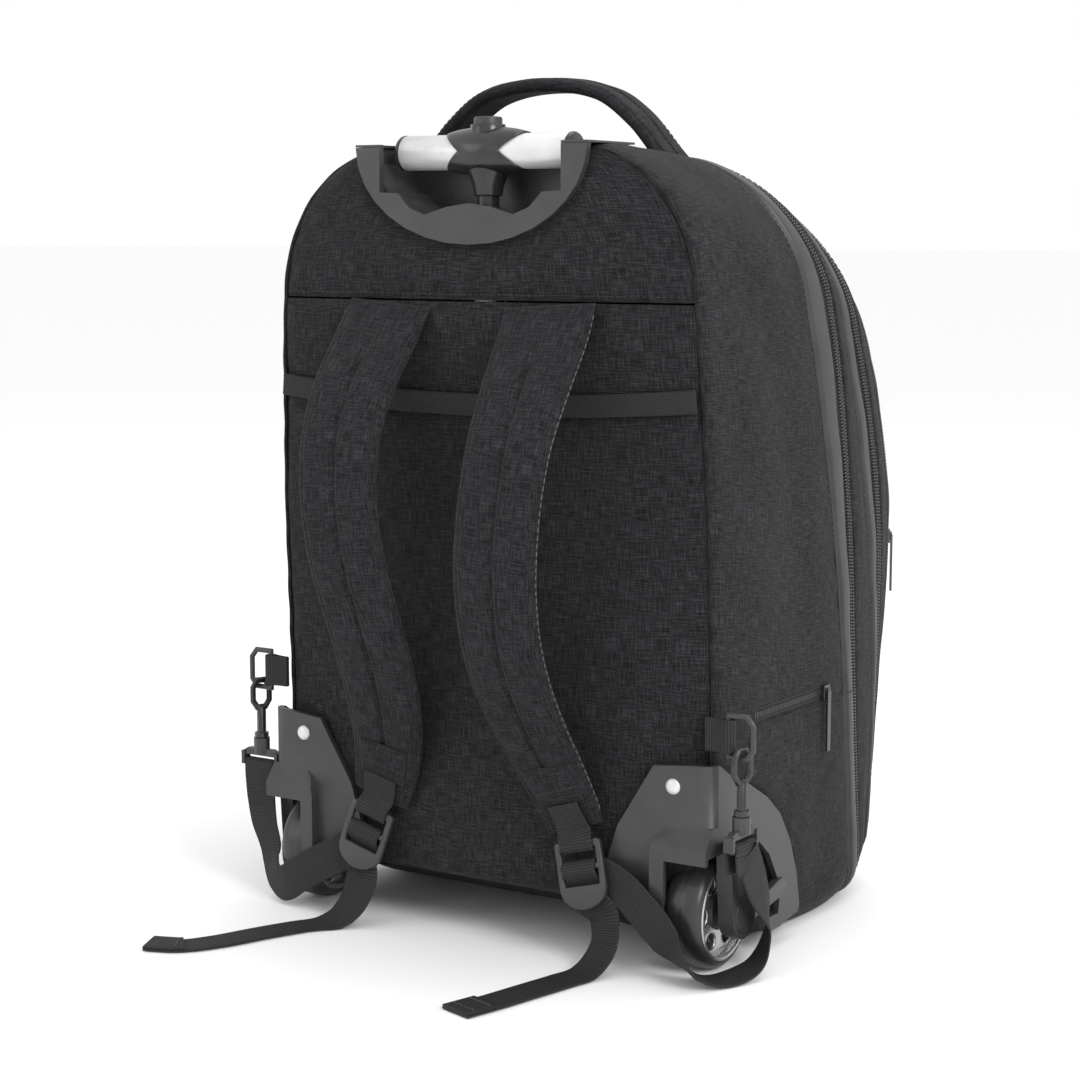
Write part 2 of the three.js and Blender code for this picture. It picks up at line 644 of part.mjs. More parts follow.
function hood() {
  const centre = point(0, wheelY, wheelRadius);
  const round = common(
    rod('X', hoodRadius, hoodInnerX, housingOuterX, centre, wheelTurns),
    block(hoodInnerX, housingOuterX, hoodBackY, wheelY + hoodRadius, wheelRadius, wheelRadius + hoodRadius),
  );
  const low = block(hoodInnerX, housingOuterX, wheelY - 20, wheelY + hoodRadius, 24, wheelRadius + hoodLap);
  const profile = [
    [wheelY + 12, 24], [wheelY + 12, 84], [wheelY - 6, hoodTop], [housingBackY + 1, hoodTop],
    [hoodBackY, hoodTop - 12], [hoodBackY, 26], [housingBackY, 24],
  ];
  const rear = prism('X', profile.reverse(), hoodInnerX, housingOuterX);
  const rounding = prism('Y', [
    [hoodInnerX, 20], ...arc(hoodInnerX + 17, hoodTop - 17, 17, 17, 180, 90, 4), [housingOuterX + 1, hoodTop],
    [housingOuterX + 1, 20],
  ].reverse(), hoodBackY - 10, wheelY + 60);
  return common(join(round, low, rear), rounding);
}

function axleArm() {
  const arm = [
    ...arc(wheelY, wheelRadius, hubRadius, hubRadius, -180, 0, 10),
    [wheelY + 6, 84], [wheelY - 19, 88],
  ];
  const brace = [[8, 34], [62, 47], [69, 40], [64, 35], [10, 27]].map(([y, z]) => [wheelY + y, z]);
  return join(
    prism('X', arm, hubInnerX, hubOuterX),
    prism('X', brace.reverse(), housingOuterX - housingWall, housingOuterX + 1.5),
  );
}

function housing() {
  const bend = 9;
  const plateX = housingOuterX - 94;
  const outer = [
    [plateX, housingBackY], ...arc(housingOuterX - bend, housingBackY + bend, bend, bend, -90, 0, 3),
    [housingOuterX, 20],
  ];
  const inner = [
    [housingOuterX - housingWall, 20],
    ...arc(housingOuterX - bend, housingBackY + bend, bend - housingWall, bend - housingWall, 0, -90, 3),
    [plateX, housingBackY + housingWall],
  ];
  const wall = prism('Z', [...outer, ...inner], 5, 142);
  const backMask = prism('Y', backOutline.slice().reverse(), housingBackY - 5, 30);
  const sideMask = prism('X', sideOutline.slice().reverse(), plateX - 10, housingOuterX + 5);
  const plate = common(wall, backMask, sideMask);
  const shell = cut(join(plate, hood()), ...wheelWell());
  const axleHole = rod('X', axleRadius + gap, wellInnerX - 4, hubOuterX + 1, point(0, wheelY, wheelRadius));
  const capSeat = rod('X', hubCapRadius + gap, hubOuterX - 1.5, hubOuterX + 1, point(0, wheelY, wheelRadius));
  return cut(join(shell, axleArm()), axleHole, capSeat);
}

const housingClearance = join(
  block(hoodInnerX - gap, housingOuterX + 20, hoodBackY - 5, wheelY + hoodRadius + gap, -10,
    wheelRadius + hoodLap + gap),
  block(hoodInnerX - gap, housingOuterX + 20, hoodBackY - 5, wheelY + 12 + gap, -10, hoodTop + gap),
  rod('X', hoodRadius + 2 * gap, hoodInnerX - gap, housingOuterX + 20, point(0, wheelY, wheelRadius),
    wheelTurns),
  prism('Y', backOutline.slice().reverse(), housingBackY - 10, housingBackY + housingWall + gap),
);

function wheelParts(name, side) {
  const place = (geometry) => (side < 0 ? mirrored(geometry) : geometry);
  const centre = point(0, wheelY, wheelRadius);
  const half = wheelWidth / 2;
  const lathe = (pairs) => {
    const profile = [...pairs, pairs[0]].map(([r, x]) => new THREE.Vector2(r, x));
    const turned = new THREE.LatheGeometry(profile, wheelTurns);
    return turned.rotateZ(-Math.PI / 2).translate(wheelOuterX - half, wheelY, wheelRadius);
  };
  const tyre = lathe([
    [rimRadius, -half], [wheelRadius - 4.5, -half], [wheelRadius, -half + 7], [wheelRadius, half - 7],
    [wheelRadius - 4.5, half], [rimRadius, half],
  ]);
  const bore = axleRadius + gap;
  const dish = lathe([
    [bore, -half + 2], [12, -half + 2], [12, -4], [rimRadius - gap, -4], [rimRadius - gap, half],
    [rimRadius - 3, half], [rimRadius - 4, half - 5], [12, half - 5], [12, half - 3], [bore, half - 3],
  ]);
  const holes = Array.from({ length: 6 }, (_, i) => {
    const a = i * Math.PI / 3;
    const at = point(0, wheelY + 21.5 * Math.cos(a), wheelRadius + 21.5 * Math.sin(a));
    return rod('X', 6.8, wheelOuterX - wheelWidth, wheelOuterX + 1, at, 6);
  });
  add(`tyre_${name}`, place(toGeometry(toSolid(tyre))), rubber);
  add(`rim_${name}`, place(cut(dish, ...holes)), brightMetal);
  const pin = rod('X', axleRadius, wellInnerX - 3, hubOuterX - 0.5, centre, 8);
  const cap = rod('X', hubCapRadius, hubOuterX - 1.5 + gap, hubOuterX + 0.4, centre, 14);
  add(`axle_${name}`, place(join(pin, cap)), moulded);
  add(`housing_${name}`, place(housing()), moulded);
  const rivet = rod('Y', rivetRadius, housingBackY - 1.6, housingBackY - gap, point(rivetX, 0, rivetHeight), 12);
  add(`rivet_${name}`, place(rivet), brightMetal);
}

// A band of webbing or padding along a path: each station has a place and the direction across it.
// The rings stand at the stations, with more between stations that lie further apart than the reach.
function bandRings(stations, section, reach) {
  const curve = new THREE.CatmullRomCurve3(stations.map((s) => s.at));
  const across = new THREE.CatmullRomCurve3(stations.map((s) => s.across));
  const last = stations.length - 1;
  const places = [0];
  for (let i = 0; i < last; i += 1) {
    const parts = Math.max(Math.round(stations[i].at.distanceTo(stations[i + 1].at) / reach), 1);
    for (let k = 1; k <= parts; k += 1) places.push((i + k / parts) / last);
  }
  return places.map((t) => {
    const at = curve.getPoint(t);
    const tangent = curve.getTangent(t).normalize();
    const side = across.getPoint(t);
    side.addScaledVector(tangent, -side.dot(tangent)).normalize();
    const normal = side.clone().cross(tangent).normalize();
    return section(t).map(([u, v]) => at.clone().addScaledVector(side, u).addScaledVector(normal, v));
  });
}

function webGeometry(stations, width = webWidth, reach = webReach) {
  const w = width / 2;
  const h = webThickness / 2;
  return sweepGeometry(bandRings(stations, () => [[-w, -h], [w, -h], [w, h], [-w, h]], reach));
}

const station = (x, y, z, ax, ay, az) => ({ at: point(x, y, z), across: point(ax, ay, az).normalize() });

// Padded shoulder strap on the +X side, from the seam of the back down to its webbing end. Its rows
// are shares of the rise from the end to the seam, of the lock's place across the back and of the
// strap's largest bow.
const strapFoot = lockZ + strapEndRise;
const strapTable = [
  { up: 0.994, across: 0.710, out: 0.174, wide: 1.09, thick: 0.2 },
  { up: 0.931, across: 0.733, out: 0.3896, wide: 1.09, thick: 0.75 },
  { up: 0.842, across: 0.751, out: 0.6883, wide: 1.05, thick: 1 },
  { up: 0.752, across: 0.745, out: 0.8961, wide: 1.0, thick: 1 },
  { up: 0.663, across: 0.722, out: 0.987, wide: 0.98, thick: 1 },
  { up: 0.573, across: 0.687, out: 1, wide: 0.98, thick: 1 },
  { up: 0.484, across: 0.647, out: 0.9481, wide: 0.98, thick: 1 },
  { up: 0.394, across: 0.612, out: 0.8312, wide: 0.98, thick: 1 },
  { up: 0.304, across: 0.606, out: 0.6753, wide: 0.98, thick: 1 },
  { up: 0.215, across: 0.647, out: 0.4935, wide: 0.95, thick: 1 },
  { up: 0.125, across: 0.733, out: 0.2987, wide: 0.88, thick: 0.9 },
  { up: 0.048, across: 0.831, out: 0.1558, wide: 0.8, thick: 0.55 },
  { up: 0.000, across: 0.895, out: 0.0974, wide: 0.72, thick: 0.3 },
].map((s) => ({
  ...s,
  z: strapFoot + s.up * (backSeamHeight - strapFoot),
  x: s.across * lockX,
  y: seamY - s.out * strapBow + strapThickness * s.thick / 2,
}));

function strapStations() {
  return strapTable.map((s) => station(s.x, s.y, s.z, 1, 0.02, 0));
}

function shoulderStrap() {
  const at = (key, t) => {
    const f = t * (strapTable.length - 1);
    const i = Math.min(Math.floor(f), strapTable.length - 2);
    return strapTable[i][key] + (strapTable[i + 1][key] - strapTable[i][key]) * (f - i);
  };
  const section = (t) => {
    const w = strapWidth * at('wide', t) / 2;
    const h = strapThickness * at('thick', t) / 2;
    return [[-w, -0.4 * h], [-w, 0.4 * h], [-0.84 * w, h], [0.84 * w, h], [w, 0.4 * h], [w, -0.4 * h],
      [0.84 * w, -h], [-0.84 * w, -h]];
  };
  return sweepGeometry(bandRings(strapStations(), section, strapReach));
}

// Ladder lock on the +X side: a frame with a window, a bar across it and a rounded lower lip.
const lockCentre = point(lockX, lockY, lockZ);
const lockTilt = { x: -0.16, y: 0.27 };

function ladderLock() {
  const w = lockWidth / 2;
  const l = lockLength / 2;
  const t = lockThickness / 2;
  const lip = l * 0.36;
  const outline = [[-w, l], [-w, -lip], ...arc(0, -lip, w, l - lip, 180, 360, 8).slice(1, -1), [w, -lip], [w, l]];
  const plate = prism('Y', outline, -t, t);
  const window = block(-w + 4, w - 4, -10, 10, -lip, l - 5);
  const bar = rod('X', lockBarRadius, -w + 3, w - 3, point(0, 0, lockBarHeight), 8);
  return join(cut(plate, window), bar);
}

// A place given in the lock's own frame, and the direction across its webbing.
const turnLock = (p) => p.applyAxisAngle(point(1, 0, 0), lockTilt.x).applyAxisAngle(point(0, 1, 0), -lockTilt.y);
const lockAcross = turnLock(point(-1, 0, 0));

function lockStation(y, z) {
  return { at: turnLock(point(0, y, z)).add(lockCentre), across: lockAcross.clone() };
}

// Webbing sewn on the strap's end and folded round the top edge of the lock: (depth, height) pairs.
const topFold = [[-2.8, 22], [-2.8, 18], [-2.3, 16], [0, 15.1], [2.3, 16], [2.8, 18], [2.8, 23]];

function strapWeb() {
  const sewn = strapTable.slice(-2).map((s) => (
    station(s.x, s.y - strapThickness * s.thick / 2 - webThickness / 2 - gap - 1, s.z, -1, 0, 0)));
  return webGeometry([...sewn, ...topFold.map(([y, z]) => lockStation(y, z))]);
}

function harnessSide(name, side) {
  const place = (geometry) => (side < 0 ? mirrored(geometry) : geometry);
  add(`shoulder_strap_${name}`, place(shoulderStrap()), melange);
  const lock = ladderLock().rotateX(lockTilt.x).rotateY(-lockTilt.y);
  lock.translate(lockCentre.x, lockCentre.y, lockCentre.z);
  add(`ladder_lock_${name}`, place(lock), moulded);
  add(`strap_web_${name}`, place(strapWeb()), webbing);
}

// The adjusting webbing goes up behind the lock, over its bar and out behind its lip:
// (depth, height) pairs in the lock's frame.
const barPass = [[5, -5], [5, 0], [4.5, 4.4], [2.8, 7.7], [0, 8.9], [-2.8, 7.6], [-3.9, 4.2], [-3.1, 0.4],
  [-0.4, -2.6], [2.3, -5.2], [3.2, -9], [3.1, -15]];

// Free ends of the adjusting webbing, hanging from the lock and lying on the floor. Columns, as on the
// +X side: the middle line's way outwards from the lock, its depth behind the seam and its height,
// then the direction across the webbing.
const tails = {
  right: [
    [14.4, -11.6, 37, -1, 0.1, -0.25], [17.4, -13, 27, -0.95, 0.25, -0.1],
    [17.9, -16, 17, -0.94, 0.34, 0], [15.4, -22, 8, -0.94, 0.34, 0], [11.9, -31, 2, -0.94, 0.34, 0],
    [7.4, -46, 1.2, -0.95, 0.3, 0], [0.4, -74, 1.2, -0.97, 0.25, 0], [-7.6, -106, 1.2, -0.96, 0.28, 0],
    [-15.6, -133, 1.2, -0.95, 0.3, 0],
  ],
  left: [
    [2.4, -12.6, 35, -1, 0, -0.15], [3.4, -15.5, 24, -1, -0.05, -0.1], [6.4, -20, 14, -1, -0.15, -0.1],
    [12.4, -26, 6, -1, -0.3, -0.1], [21.4, -34, 1.8, -1, -0.45, 0], [30.4, -46, 1.2, -1, -0.5, 0],
    [42.4, -71, 1.2, -1, -0.5, 0], [55.4, -102, 1.2, -1, -0.6, 0], [69.4, -122, 1.2, -0.6, -0.8, 0],
    [89.4, -131, 1.2, -0.3, -0.9, 0],
  ],
};

// Loaded ends, from under the frame of the snap hook to behind the lock. Columns as above, with the
// way outwards as a share of the way from the lock to the hook.
const lowerPaths = {
  right: [
    [1.024, 13, 78, 0.05, 0.95, 0.4], [1.005, 28, 59, 0, 0.9, 0.5], [0.9952, 41, 43, -0.25, 0.9, 0.3],
    [0.9952, 45, 30, -0.5, 0.86, 0.1], [0.9904, 40, 17, -0.6, 0.8, 0], [0.9711, 30, 7, -0.7, 0.7, 0],
    [0.9182, 15, 2, -0.87, 0.48, 0], [0.8412, -1, 2.2, -0.85, 0.55, 0],
    [0.7642, -12.5, 9, -0.6, 0.8, -0.1], [0.6872, -16.5, 18.5, -0.6, 0.6, -0.4],
    [0.6102, -16.6, 28, -0.65, 0.15, -0.72], [0.5332, -16, 36, -0.64, 0, -0.77],
    [0.4273, -15, 45.5, -0.6, 0, -0.8], [0.3022, -12.5, 54, -0.5, 0, -0.87],
    [0.1675, -9.5, 59, -0.35, 0, -0.93], [0.0423, -7.6, 61, -0.2, 0, -0.98],
  ],
  left: [
    [0.9856, 2.4, 72, -1, 0, 0.05], [0.9663, 3, 54, -1, -0.1, 0.08],
    [0.9134, 2.8, 38, -0.96, -0.25, 0.15], [0.8893, 0.5, 28, -0.85, -0.4, 0.35],
    [0.8316, -4, 19.5, -0.6, -0.3, 0.75], [0.7449, -8, 15.5, -0.1, -0.1, 1],
    [0.6583, -11.7, 18, 0.35, 0, 0.93], [0.5621, -14, 24.5, 0.5, 0, 0.87],
    [0.4177, -15, 33.5, 0.5, 0, 0.87], [0.2541, -12.5, 43, 0.5, 0, 0.87],
    [0.1097, -9.5, 51.5, 0.5, 0, 0.87], [0.0038, -7.8, 57, 0.5, 0, 0.87],
  ],
};

function pathStations(rows, side, reach) {
  return rows.map(([out, y, z, ax, ay, az]) => (
    station(side * (lockX + out * reach), seamY + y, z, side * ax, ay, az)));
}

// Webbing turned over the bar of the hook's frame: (thickness direction, height above the bar).
const frameFold = [[3.5, -18], [3.5, -8], [3.5, -3], [3.3, 0.3], [1.9, 1.4], [0, 1.5], [-1.9, 1.4], [-3.3, 0.3],
  [-3.5, -3], [-3.5, -8]];

function frameAxes(side) {
  const turn = THREE.MathUtils.degToRad(side.turn);
  return {
    along: point(Math.cos(turn), Math.sin(turn), 0),
    through: point(-Math.sin(turn), Math.cos(turn), 0),
    base: point(side.side * hookX, loopY, side.loopZ - frameDrop),
  };
}

function adjustingWeb(side) {
  const { along, through, base } = frameAxes(side);
  const fold = frameFold.map(([v, z]) => ({
    at: base.clone().addScaledVector(through, v).add(point(0, 0, z)),
    across: along.clone(),
  }));
  const lower = webGeometry([...fold, ...pathStations(lowerPaths[side.name], side.side, hookX - lockX)]);
  const pass = barPass.map(([y, z]) => lockStation(y, z));
  if (side.side < 0) {
    for (const s of pass) {
      s.at.x *= -1;
      s.across.x *= -1;
    }
  }
  const tail = webGeometry([...pass, ...pathStations(tails[side.name], side.side, 1)]);
  add(`adjusting_web_${side.name}`, join(lower, tail), webbing);
}

// Carry handle: a padded band in an arch, trimmed where it is sewn to the top of the body.
const bodyTrim = sweepGeometry(surface.slice(0, rowOf('mainZipBack') + 1).map((row, i) => (
  row.map((p, j) => p.clone().addScaledVector(surfaceNormals[i][j], gap)))));

function carryHandle() {
  const shares = [[-1.22, -0.65], [-1, -0.1], [-0.78, 0.42], [-0.48, 0.85], [0, 1], [0.48, 0.85], [0.78, 0.42],
    [1, -0.1], [1.22, -0.65]];
  const stations = shares.map(([u, v]) => (
    station(u * handleHalfSpan, handleY, bagHeight + v * handleRise, 0, 1, 0)));
  const w = handleWidth / 2;
  const h = handleThickness / 2;
  const section = () => [[-w, -0.5 * h], [-w, 0.5 * h], [-0.7 * w, h], [0.7 * w, h], [w, 0.5 * h], [w, -0.5 * h],
    [0.7 * w, -h], [-0.7 * w, -h]];
  const whole = sweepGeometry(bandRings(stations, section, handleReach));
  return cut(whole, bodyTrim, block(-200, 200, -200, 200, 0, bagHeight - 40));
}

// Back band: a flat sleeve of twill across the back, sagging a little between its ends.
function backBand() {
  const half = sideAt(bagWidth / 2, bagHeight, 365) - cloth - 2;
  const stations = [-1, -0.6, -0.2, 0.2, 0.6, 1].map((u) => {
    const z = 364 - 7 * (1 - u * u);
    const y = backFace(u * half, z) - webThickness / 2 - gap - 0.9;
    return station(u * half, y, z, 0, 0, 1);
  });
  return webGeometry(stations, bandWidth, half / 4);
}

// Side loops: a folded tab from the back seam, a plastic D-ring in it and a snap hook on the ring.
function loopParts({ name, side, loopZ }) {
  const place = (geometry) => (side < 0 ? mirrored(geometry) : geometry);
  const tabEnd = point(loopBarX, loopY, 0);
  const seam = sidePlace('backSeam', loopZ);
  const rootX = seam.x - cloth - gap;
  const rootY = Math.min(...[-1, 1].map((end) => (
    sidePlace('backSeam', loopZ + end * tabWidth / 2).y))) - gap - tabHalfThickness;
  const outline = [
    [rootX, rootY - tabHalfThickness], [loopBarX, loopY - tabHalfThickness],
    [loopBarX, loopY + tabHalfThickness], [rootX, rootY + tabHalfThickness],
  ];
  const tab = cut(
    join(
      prism('Z', outline, loopZ - tabWidth / 2, loopZ + tabWidth / 2),
      rod('Z', tabSleeveRadius, loopZ - tabWidth / 2, loopZ + tabWidth / 2, tabEnd, 10),
    ),
    rod('Z', loopRod + 2 * gap, loopZ - webWidth, loopZ + webWidth, tabEnd, 8),
  );
  add(`side_tab_${name}`, place(tab), webbing);
  const h = loopHeight / 2;
  const corners = [[0, -h], [0, h], [0.75, h], [1, 0.6 * h], [1, -0.6 * h], [0.75, -h]];
  const at = corners.map(([u, v]) => point(loopBarX + u * loopReach, loopY, loopZ + v));
  add(`d_ring_${name}`, place(closedLoop(at, loopRod, point(0, 1, 0))), moulded);
}

// Round rod along a closed polygon of points in a plane with the given normal.
function closedLoop(corners, radius, normal) {
  const count = corners.length;
  const sectionSides = 6;
  const rings = corners.map((p, i) => {
    const before = corners[(i + count - 1) % count];
    const after = corners[(i + 1) % count];
    const a = p.clone().sub(before).normalize();
    const b = after.clone().sub(p).normalize();
    const tangent = a.clone().add(b).normalize();
    const stretch = 1 / Math.max(tangent.dot(a), 0.5);
    const outward = tangent.clone().cross(normal).normalize();
    return Array.from({ length: sectionSides }, (_, k) => {
      const angle = 2 * Math.PI * k / sectionSides;
      return p.clone().addScaledVector(outward, radius * stretch * Math.cos(angle))
        .addScaledVector(normal, radius * Math.sin(angle));
    });
  });
  const points = rings.flat();
  const triangles = [];
  for (let i = 0; i < count; i += 1) {
    for (let k = 0; k < sectionSides; k += 1) {
      const a = i * sectionSides;
      const b = ((i + 1) % count) * sectionSides;
      const k2 = (k + 1) % sectionSides;
      triangles.push([a + k, b + k, b + k2], [a + k, b + k2, a + k2]);
    }
  }
  return closedGeometry(points, triangles);
}

// Snap hook hanging on the ring's lower rod, its shaft in the collar of the frame that holds the webbing.
function hookParts(side) {
  const turn = THREE.MathUtils.degToRad(hookTurn);
  const plane = point(Math.sin(turn), Math.cos(turn), 0);
  const normal = point(Math.cos(turn), -Math.sin(turn), 0);
  const centre = point(side.side * hookX, loopY, 0);
  const top = side.loopZ - loopHeight / 2 + loopRod + gap + hookRod;
  const w = hookLoopWidth / 2;
  const h = hookLoopHeight;
  const outline = [[0.5, 0], [1, 0.25], [1, 0.72], [0.5, 0.96]];
  const corners = [...outline, ...outline.slice().map(([u, v]) => [-u, v]).reverse()];
  const loop = closedLoop(corners.map(([u, v]) => (
    centre.clone().addScaledVector(plane, u * w).setZ(top - v * h))), hookRod, normal);
  const base = frameAxes(side).base.z;
  const collarTop = base + frameSlot + 13;
  const shaftFoot = base + frameSlot + 5;
  const shaft = rod('Z', hookShaft, shaftFoot, top - h + 1, centre, 8);
  const shoulder = rod('Z', hookShaft + 1.8, collarTop + gap, collarTop + 4, centre, 8);
  add(`snap_hook_${side.name}`, join(loop, shaft, shoulder), glossBlack);

  const half = frameWidth / 2;
  const outer = [
    ...arc(half - 5, frameSlot / 2, 5, frameSlot / 2 + frameBar + 1, -90, 90, 4),
    ...arc(-half + 5, frameSlot / 2, 5, frameSlot / 2 + frameBar + 1, 90, 270, 4),
  ];
  const frame = prism('Y', outer, -frameThickness / 2, frameThickness / 2);
  const slot = block(-webWidth / 2 - 1, webWidth / 2 + 1, -5, 5, 0, frameSlot);
  const collar = rod('Z', hookShaft + 2.6, frameSlot + 2, frameSlot + 13, point(0, 0, 0), 10);
  const knobs = [-1, 1].map((end) => block(end * (half - 1.3) - 1.3, end * (half - 1.3) + 1.3, -3.5, 3.5,
    -2.5, frameSlot + 2.5));
  const bore = rod('Z', hookShaft + 2 * gap, frameSlot + 4.5, frameSlot + 20, point(0, 0, 0), 10);
  const solid = cut(join(frame, collar, ...knobs), slot, bore);
  solid.rotateZ(THREE.MathUtils.degToRad(side.turn)).translate(centre.x, centre.y, base);
  add(`hook_frame_${side.name}`, solid, moulded);
}

// Front edge of the housing's side plate at a height, with the outline's own straight runs.
function housingEdge(z) {
  const run = sideOutline.slice(3, 9);
  let i = 0;
  while (i < run.length - 2 && z < run[i + 1][1]) i += 1;
  const share = (z - run[i][1]) / (run[i + 1][1] - run[i][1]);
  return run[i][0] + (run[i + 1][0] - run[i][0]) * Math.min(Math.max(share, 0), 1);
}

// Cloth laid on the body's side between two heights and two depths that may change with height.
function sidePatch(fromZ, toZ, rearAt, frontAt, rows, cols, thickness) {
  const grid = (lift) => Array.from({ length: rows + 1 }, (_, i) => {
    const z = fromZ + (toZ - fromZ) * i / rows;
    return Array.from({ length: cols + 1 }, (__, j) => {
      const y = rearAt(z) + (frontAt(z) - rearAt(z)) * j / cols;
      return point(sideFace(y, z) + lift, y, z);
    });
  });
  return wallGeometry(grid(gap + thickness), grid(gap), false);
}

// Zip slider with a flat pull hanging from it: outward is level, the zip runs past its back.
function zipPull(at, outward) {
  const plate = prism('Y', [
    [3.4, -1], [3.4, 1], [5, 1], [5, -pullLength], [3.4, -pullLength],
  ].reverse(), -2.4, 2.4);
  const slider = block(gap, 3, -4, 4, -5, 5);
  const bridge = block(1, 4.6, -1.2, 1.2, -2, 3);
  const pull = join(slider, bridge, plate);
  pull.rotateZ(Math.atan2(outward.y, outward.x));
  return pull.translate(at.x, at.y, at.z);
}

// The pull of a zip that runs round the body: between its two rings on the +X side.
function ringPull(rear, front, z) {
  const a = sidePlace(rear, z);
  const b = sidePlace(front, z);
  const outward = point(b.y - a.y, a.x - b.x, 0).normalize();
  return zipPull(a.add(b).multiplyScalar(0.5), outward);
}

function sideDetails(name, side) {
  const place = (geometry) => (side < 0 ? mirrored(geometry) : geometry);
  const rear = (z) => Math.max(sidePocketRear, housingEdge(z) + 4);
  const front = (z) => sidePlace('mainZipBack', z).y - 1.5;
  const pocket = sidePatch(sidePocketFoot, sidePocketTop, rear, front, 7, 4, 1.6);
  add(`side_pocket_${name}`, place(pocket), melange);
  const zipFoot = sidePocketTop + gap;
  const zip = sidePatch(zipFoot, zipFoot + sideZipWidth, () => sideZipRear, () => sideZipFront, 1, 5, 1.4);
  add(`side_zip_${name}`, place(zip), zipTape);
  const pullY = sideZipFront - 9;
  const pullZ = zipFoot + sideZipWidth / 2;
  const at = point(sideFace(pullY, pullZ) + 1.4 + gap, pullY, pullZ);
  add(`side_pull_${name}`, place(zipPull(at, point(1, 0, 0))), brightMetal);
}

add('main_shell', cut(bodyPanel(0, rowOf('mainZipBack')), housingClearance, mirrored(housingClearance), cupClearance),
  melange);
add('main_zip', bodyPanel(rowOf('mainZipBack'), rowOf('mainZipFront')), zipTape);
add('front_shell', bodyPanel(rowOf('mainZipFront'), rowOf('frontZipBack')), melange);
add('front_zip', bodyPanel(rowOf('frontZipBack'), rowOf('frontZipFront')), zipTape);
add('pocket_shell', bodyPanel(rowOf('frontZipFront'), rowOf('pocketZipBack')), melange);
add('pocket_zip', bodyPanel(rowOf('pocketZipBack'), rowOf('pocketZipFront')), zipTape);
add('front_panel', bodyPanel(rowOf('pocketZipFront'), surface.length - 1), melange);
add('back_panel', cut(backPanel(backBaseHeight + cloth + 2 * gap, backSeamHeight, 7), housingClearance,
  mirrored(housingClearance), poleChannel), melange);
add('upper_back_panel', cut(backPanel(backSeamHeight + gap, bagHeight - cloth - gap - 3, 4), cupClearance,
  poleChannel), melange);
add('back_band', backBand(), webbing);
add('handle_cup', handleCup(), moulded);
add('pole_outer_tube', tube(outerTubeRadius, outerTubeFoot, outerTubeTop), brightMetal);
add('pole_middle_tube', tube(middleTubeRadius, outerTubeFoot + 8, middleTubeTop), brightMetal);
add('pole_stem', tube(stemRadius, outerTubeFoot + 16, stemTop), glossBlack);
gripParts();
add('carry_handle', carryHandle(), melange);
for (const { name, side } of sides) wheelParts(name, side);
for (const { name, side } of sides) harnessSide(name, side);
for (const { name, side } of sides) sideDetails(name, side);
for (const one of sides) {
  loopParts(one);
  hookParts(one);
  adjustingWeb(one);
}
add('front_pull', ringPull('pocketZipBack', 'pocketZipFront', 250), brightMetal);
add('second_pull', mirrored(ringPull('frontZipBack', 'frontZipFront', 290)), brightMetal);
add('main_pull', mirrored(ringPull('mainZipBack', 'mainZipFront', 330)), brightMetal);

const bounds = new THREE.Box3().setFromObject(group);
const middle = bounds.getCenter(point(0, 0, 0));
group.position.set(-middle.x, -middle.y, -bounds.min.z);
group.updateMatrixWorld(true);

export default group;
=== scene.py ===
# %% [markdown]
# # A wheeled backpack around its measured frame
# The CAD model of this bag is measured, but it is plain: flat facets and flat colours.
# In this lesson each of its parts gets the surface of the real one. Every place below is given in
# the CAD model's own millimetres, and one helper turns them into the metres of the frame, so what
# is built here lies exactly where the CAD part lies.

import bmesh
import bpy
import numpy as np
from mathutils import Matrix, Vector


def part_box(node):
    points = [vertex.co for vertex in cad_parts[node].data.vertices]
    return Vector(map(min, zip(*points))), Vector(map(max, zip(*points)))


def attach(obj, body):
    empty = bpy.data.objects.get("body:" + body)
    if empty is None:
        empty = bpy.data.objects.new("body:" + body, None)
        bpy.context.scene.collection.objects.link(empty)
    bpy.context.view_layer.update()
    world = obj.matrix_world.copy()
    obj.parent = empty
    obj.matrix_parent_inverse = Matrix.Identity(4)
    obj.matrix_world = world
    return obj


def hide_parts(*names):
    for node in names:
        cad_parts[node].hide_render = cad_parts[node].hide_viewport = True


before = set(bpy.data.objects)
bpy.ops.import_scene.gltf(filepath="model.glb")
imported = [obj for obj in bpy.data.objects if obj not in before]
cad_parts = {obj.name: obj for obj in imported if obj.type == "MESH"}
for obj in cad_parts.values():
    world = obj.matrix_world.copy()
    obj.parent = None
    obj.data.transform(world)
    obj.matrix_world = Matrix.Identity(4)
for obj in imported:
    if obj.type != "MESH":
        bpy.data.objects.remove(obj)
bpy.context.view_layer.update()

WHEEL_CENTRE = np.array([153.5, -75.0, 38.0])
tyre_low, tyre_high = (np.array(corner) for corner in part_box("tyre_right"))
FRAME_SHIFT = (tyre_low + tyre_high) / 2 - WHEEL_CENTRE / 1000


def to_frame(points):
    """Metres in the frame = millimetres / 1000 + the shift that centres the object's box."""
    return np.asarray(points, float) / 1000 + FRAME_SHIFT


# %% [markdown]
# ## The camera and the light
# The photo was taken with a long lens from the harness side, a little above the bag and a little
# round to its right (+X). The camera's place was worked out from the straight lines of the bag. The
# light is that of a product studio: a large soft lamp on the camera's right, weaker ones on its left
# and above, and a bright room around them.

# %% Camera and lamps
CAMERA_PLACE = (841.8, -1346.2, 466.0)
CAMERA_HEADING = 32.674
CAMERA_TILT = 7.53
CAMERA_LENS = 77.43

camera_data = bpy.data.cameras.new("camera")
camera_data.lens = CAMERA_LENS
camera_data.sensor_width = 36
camera_data.clip_end = 200
camera = bpy.data.objects.new("camera", camera_data)
camera.location = to_frame(CAMERA_PLACE)
camera.rotation_euler = np.radians((90 - CAMERA_TILT, 0, CAMERA_HEADING))
bpy.context.collection.objects.link(camera)
bpy.context.scene.camera = camera


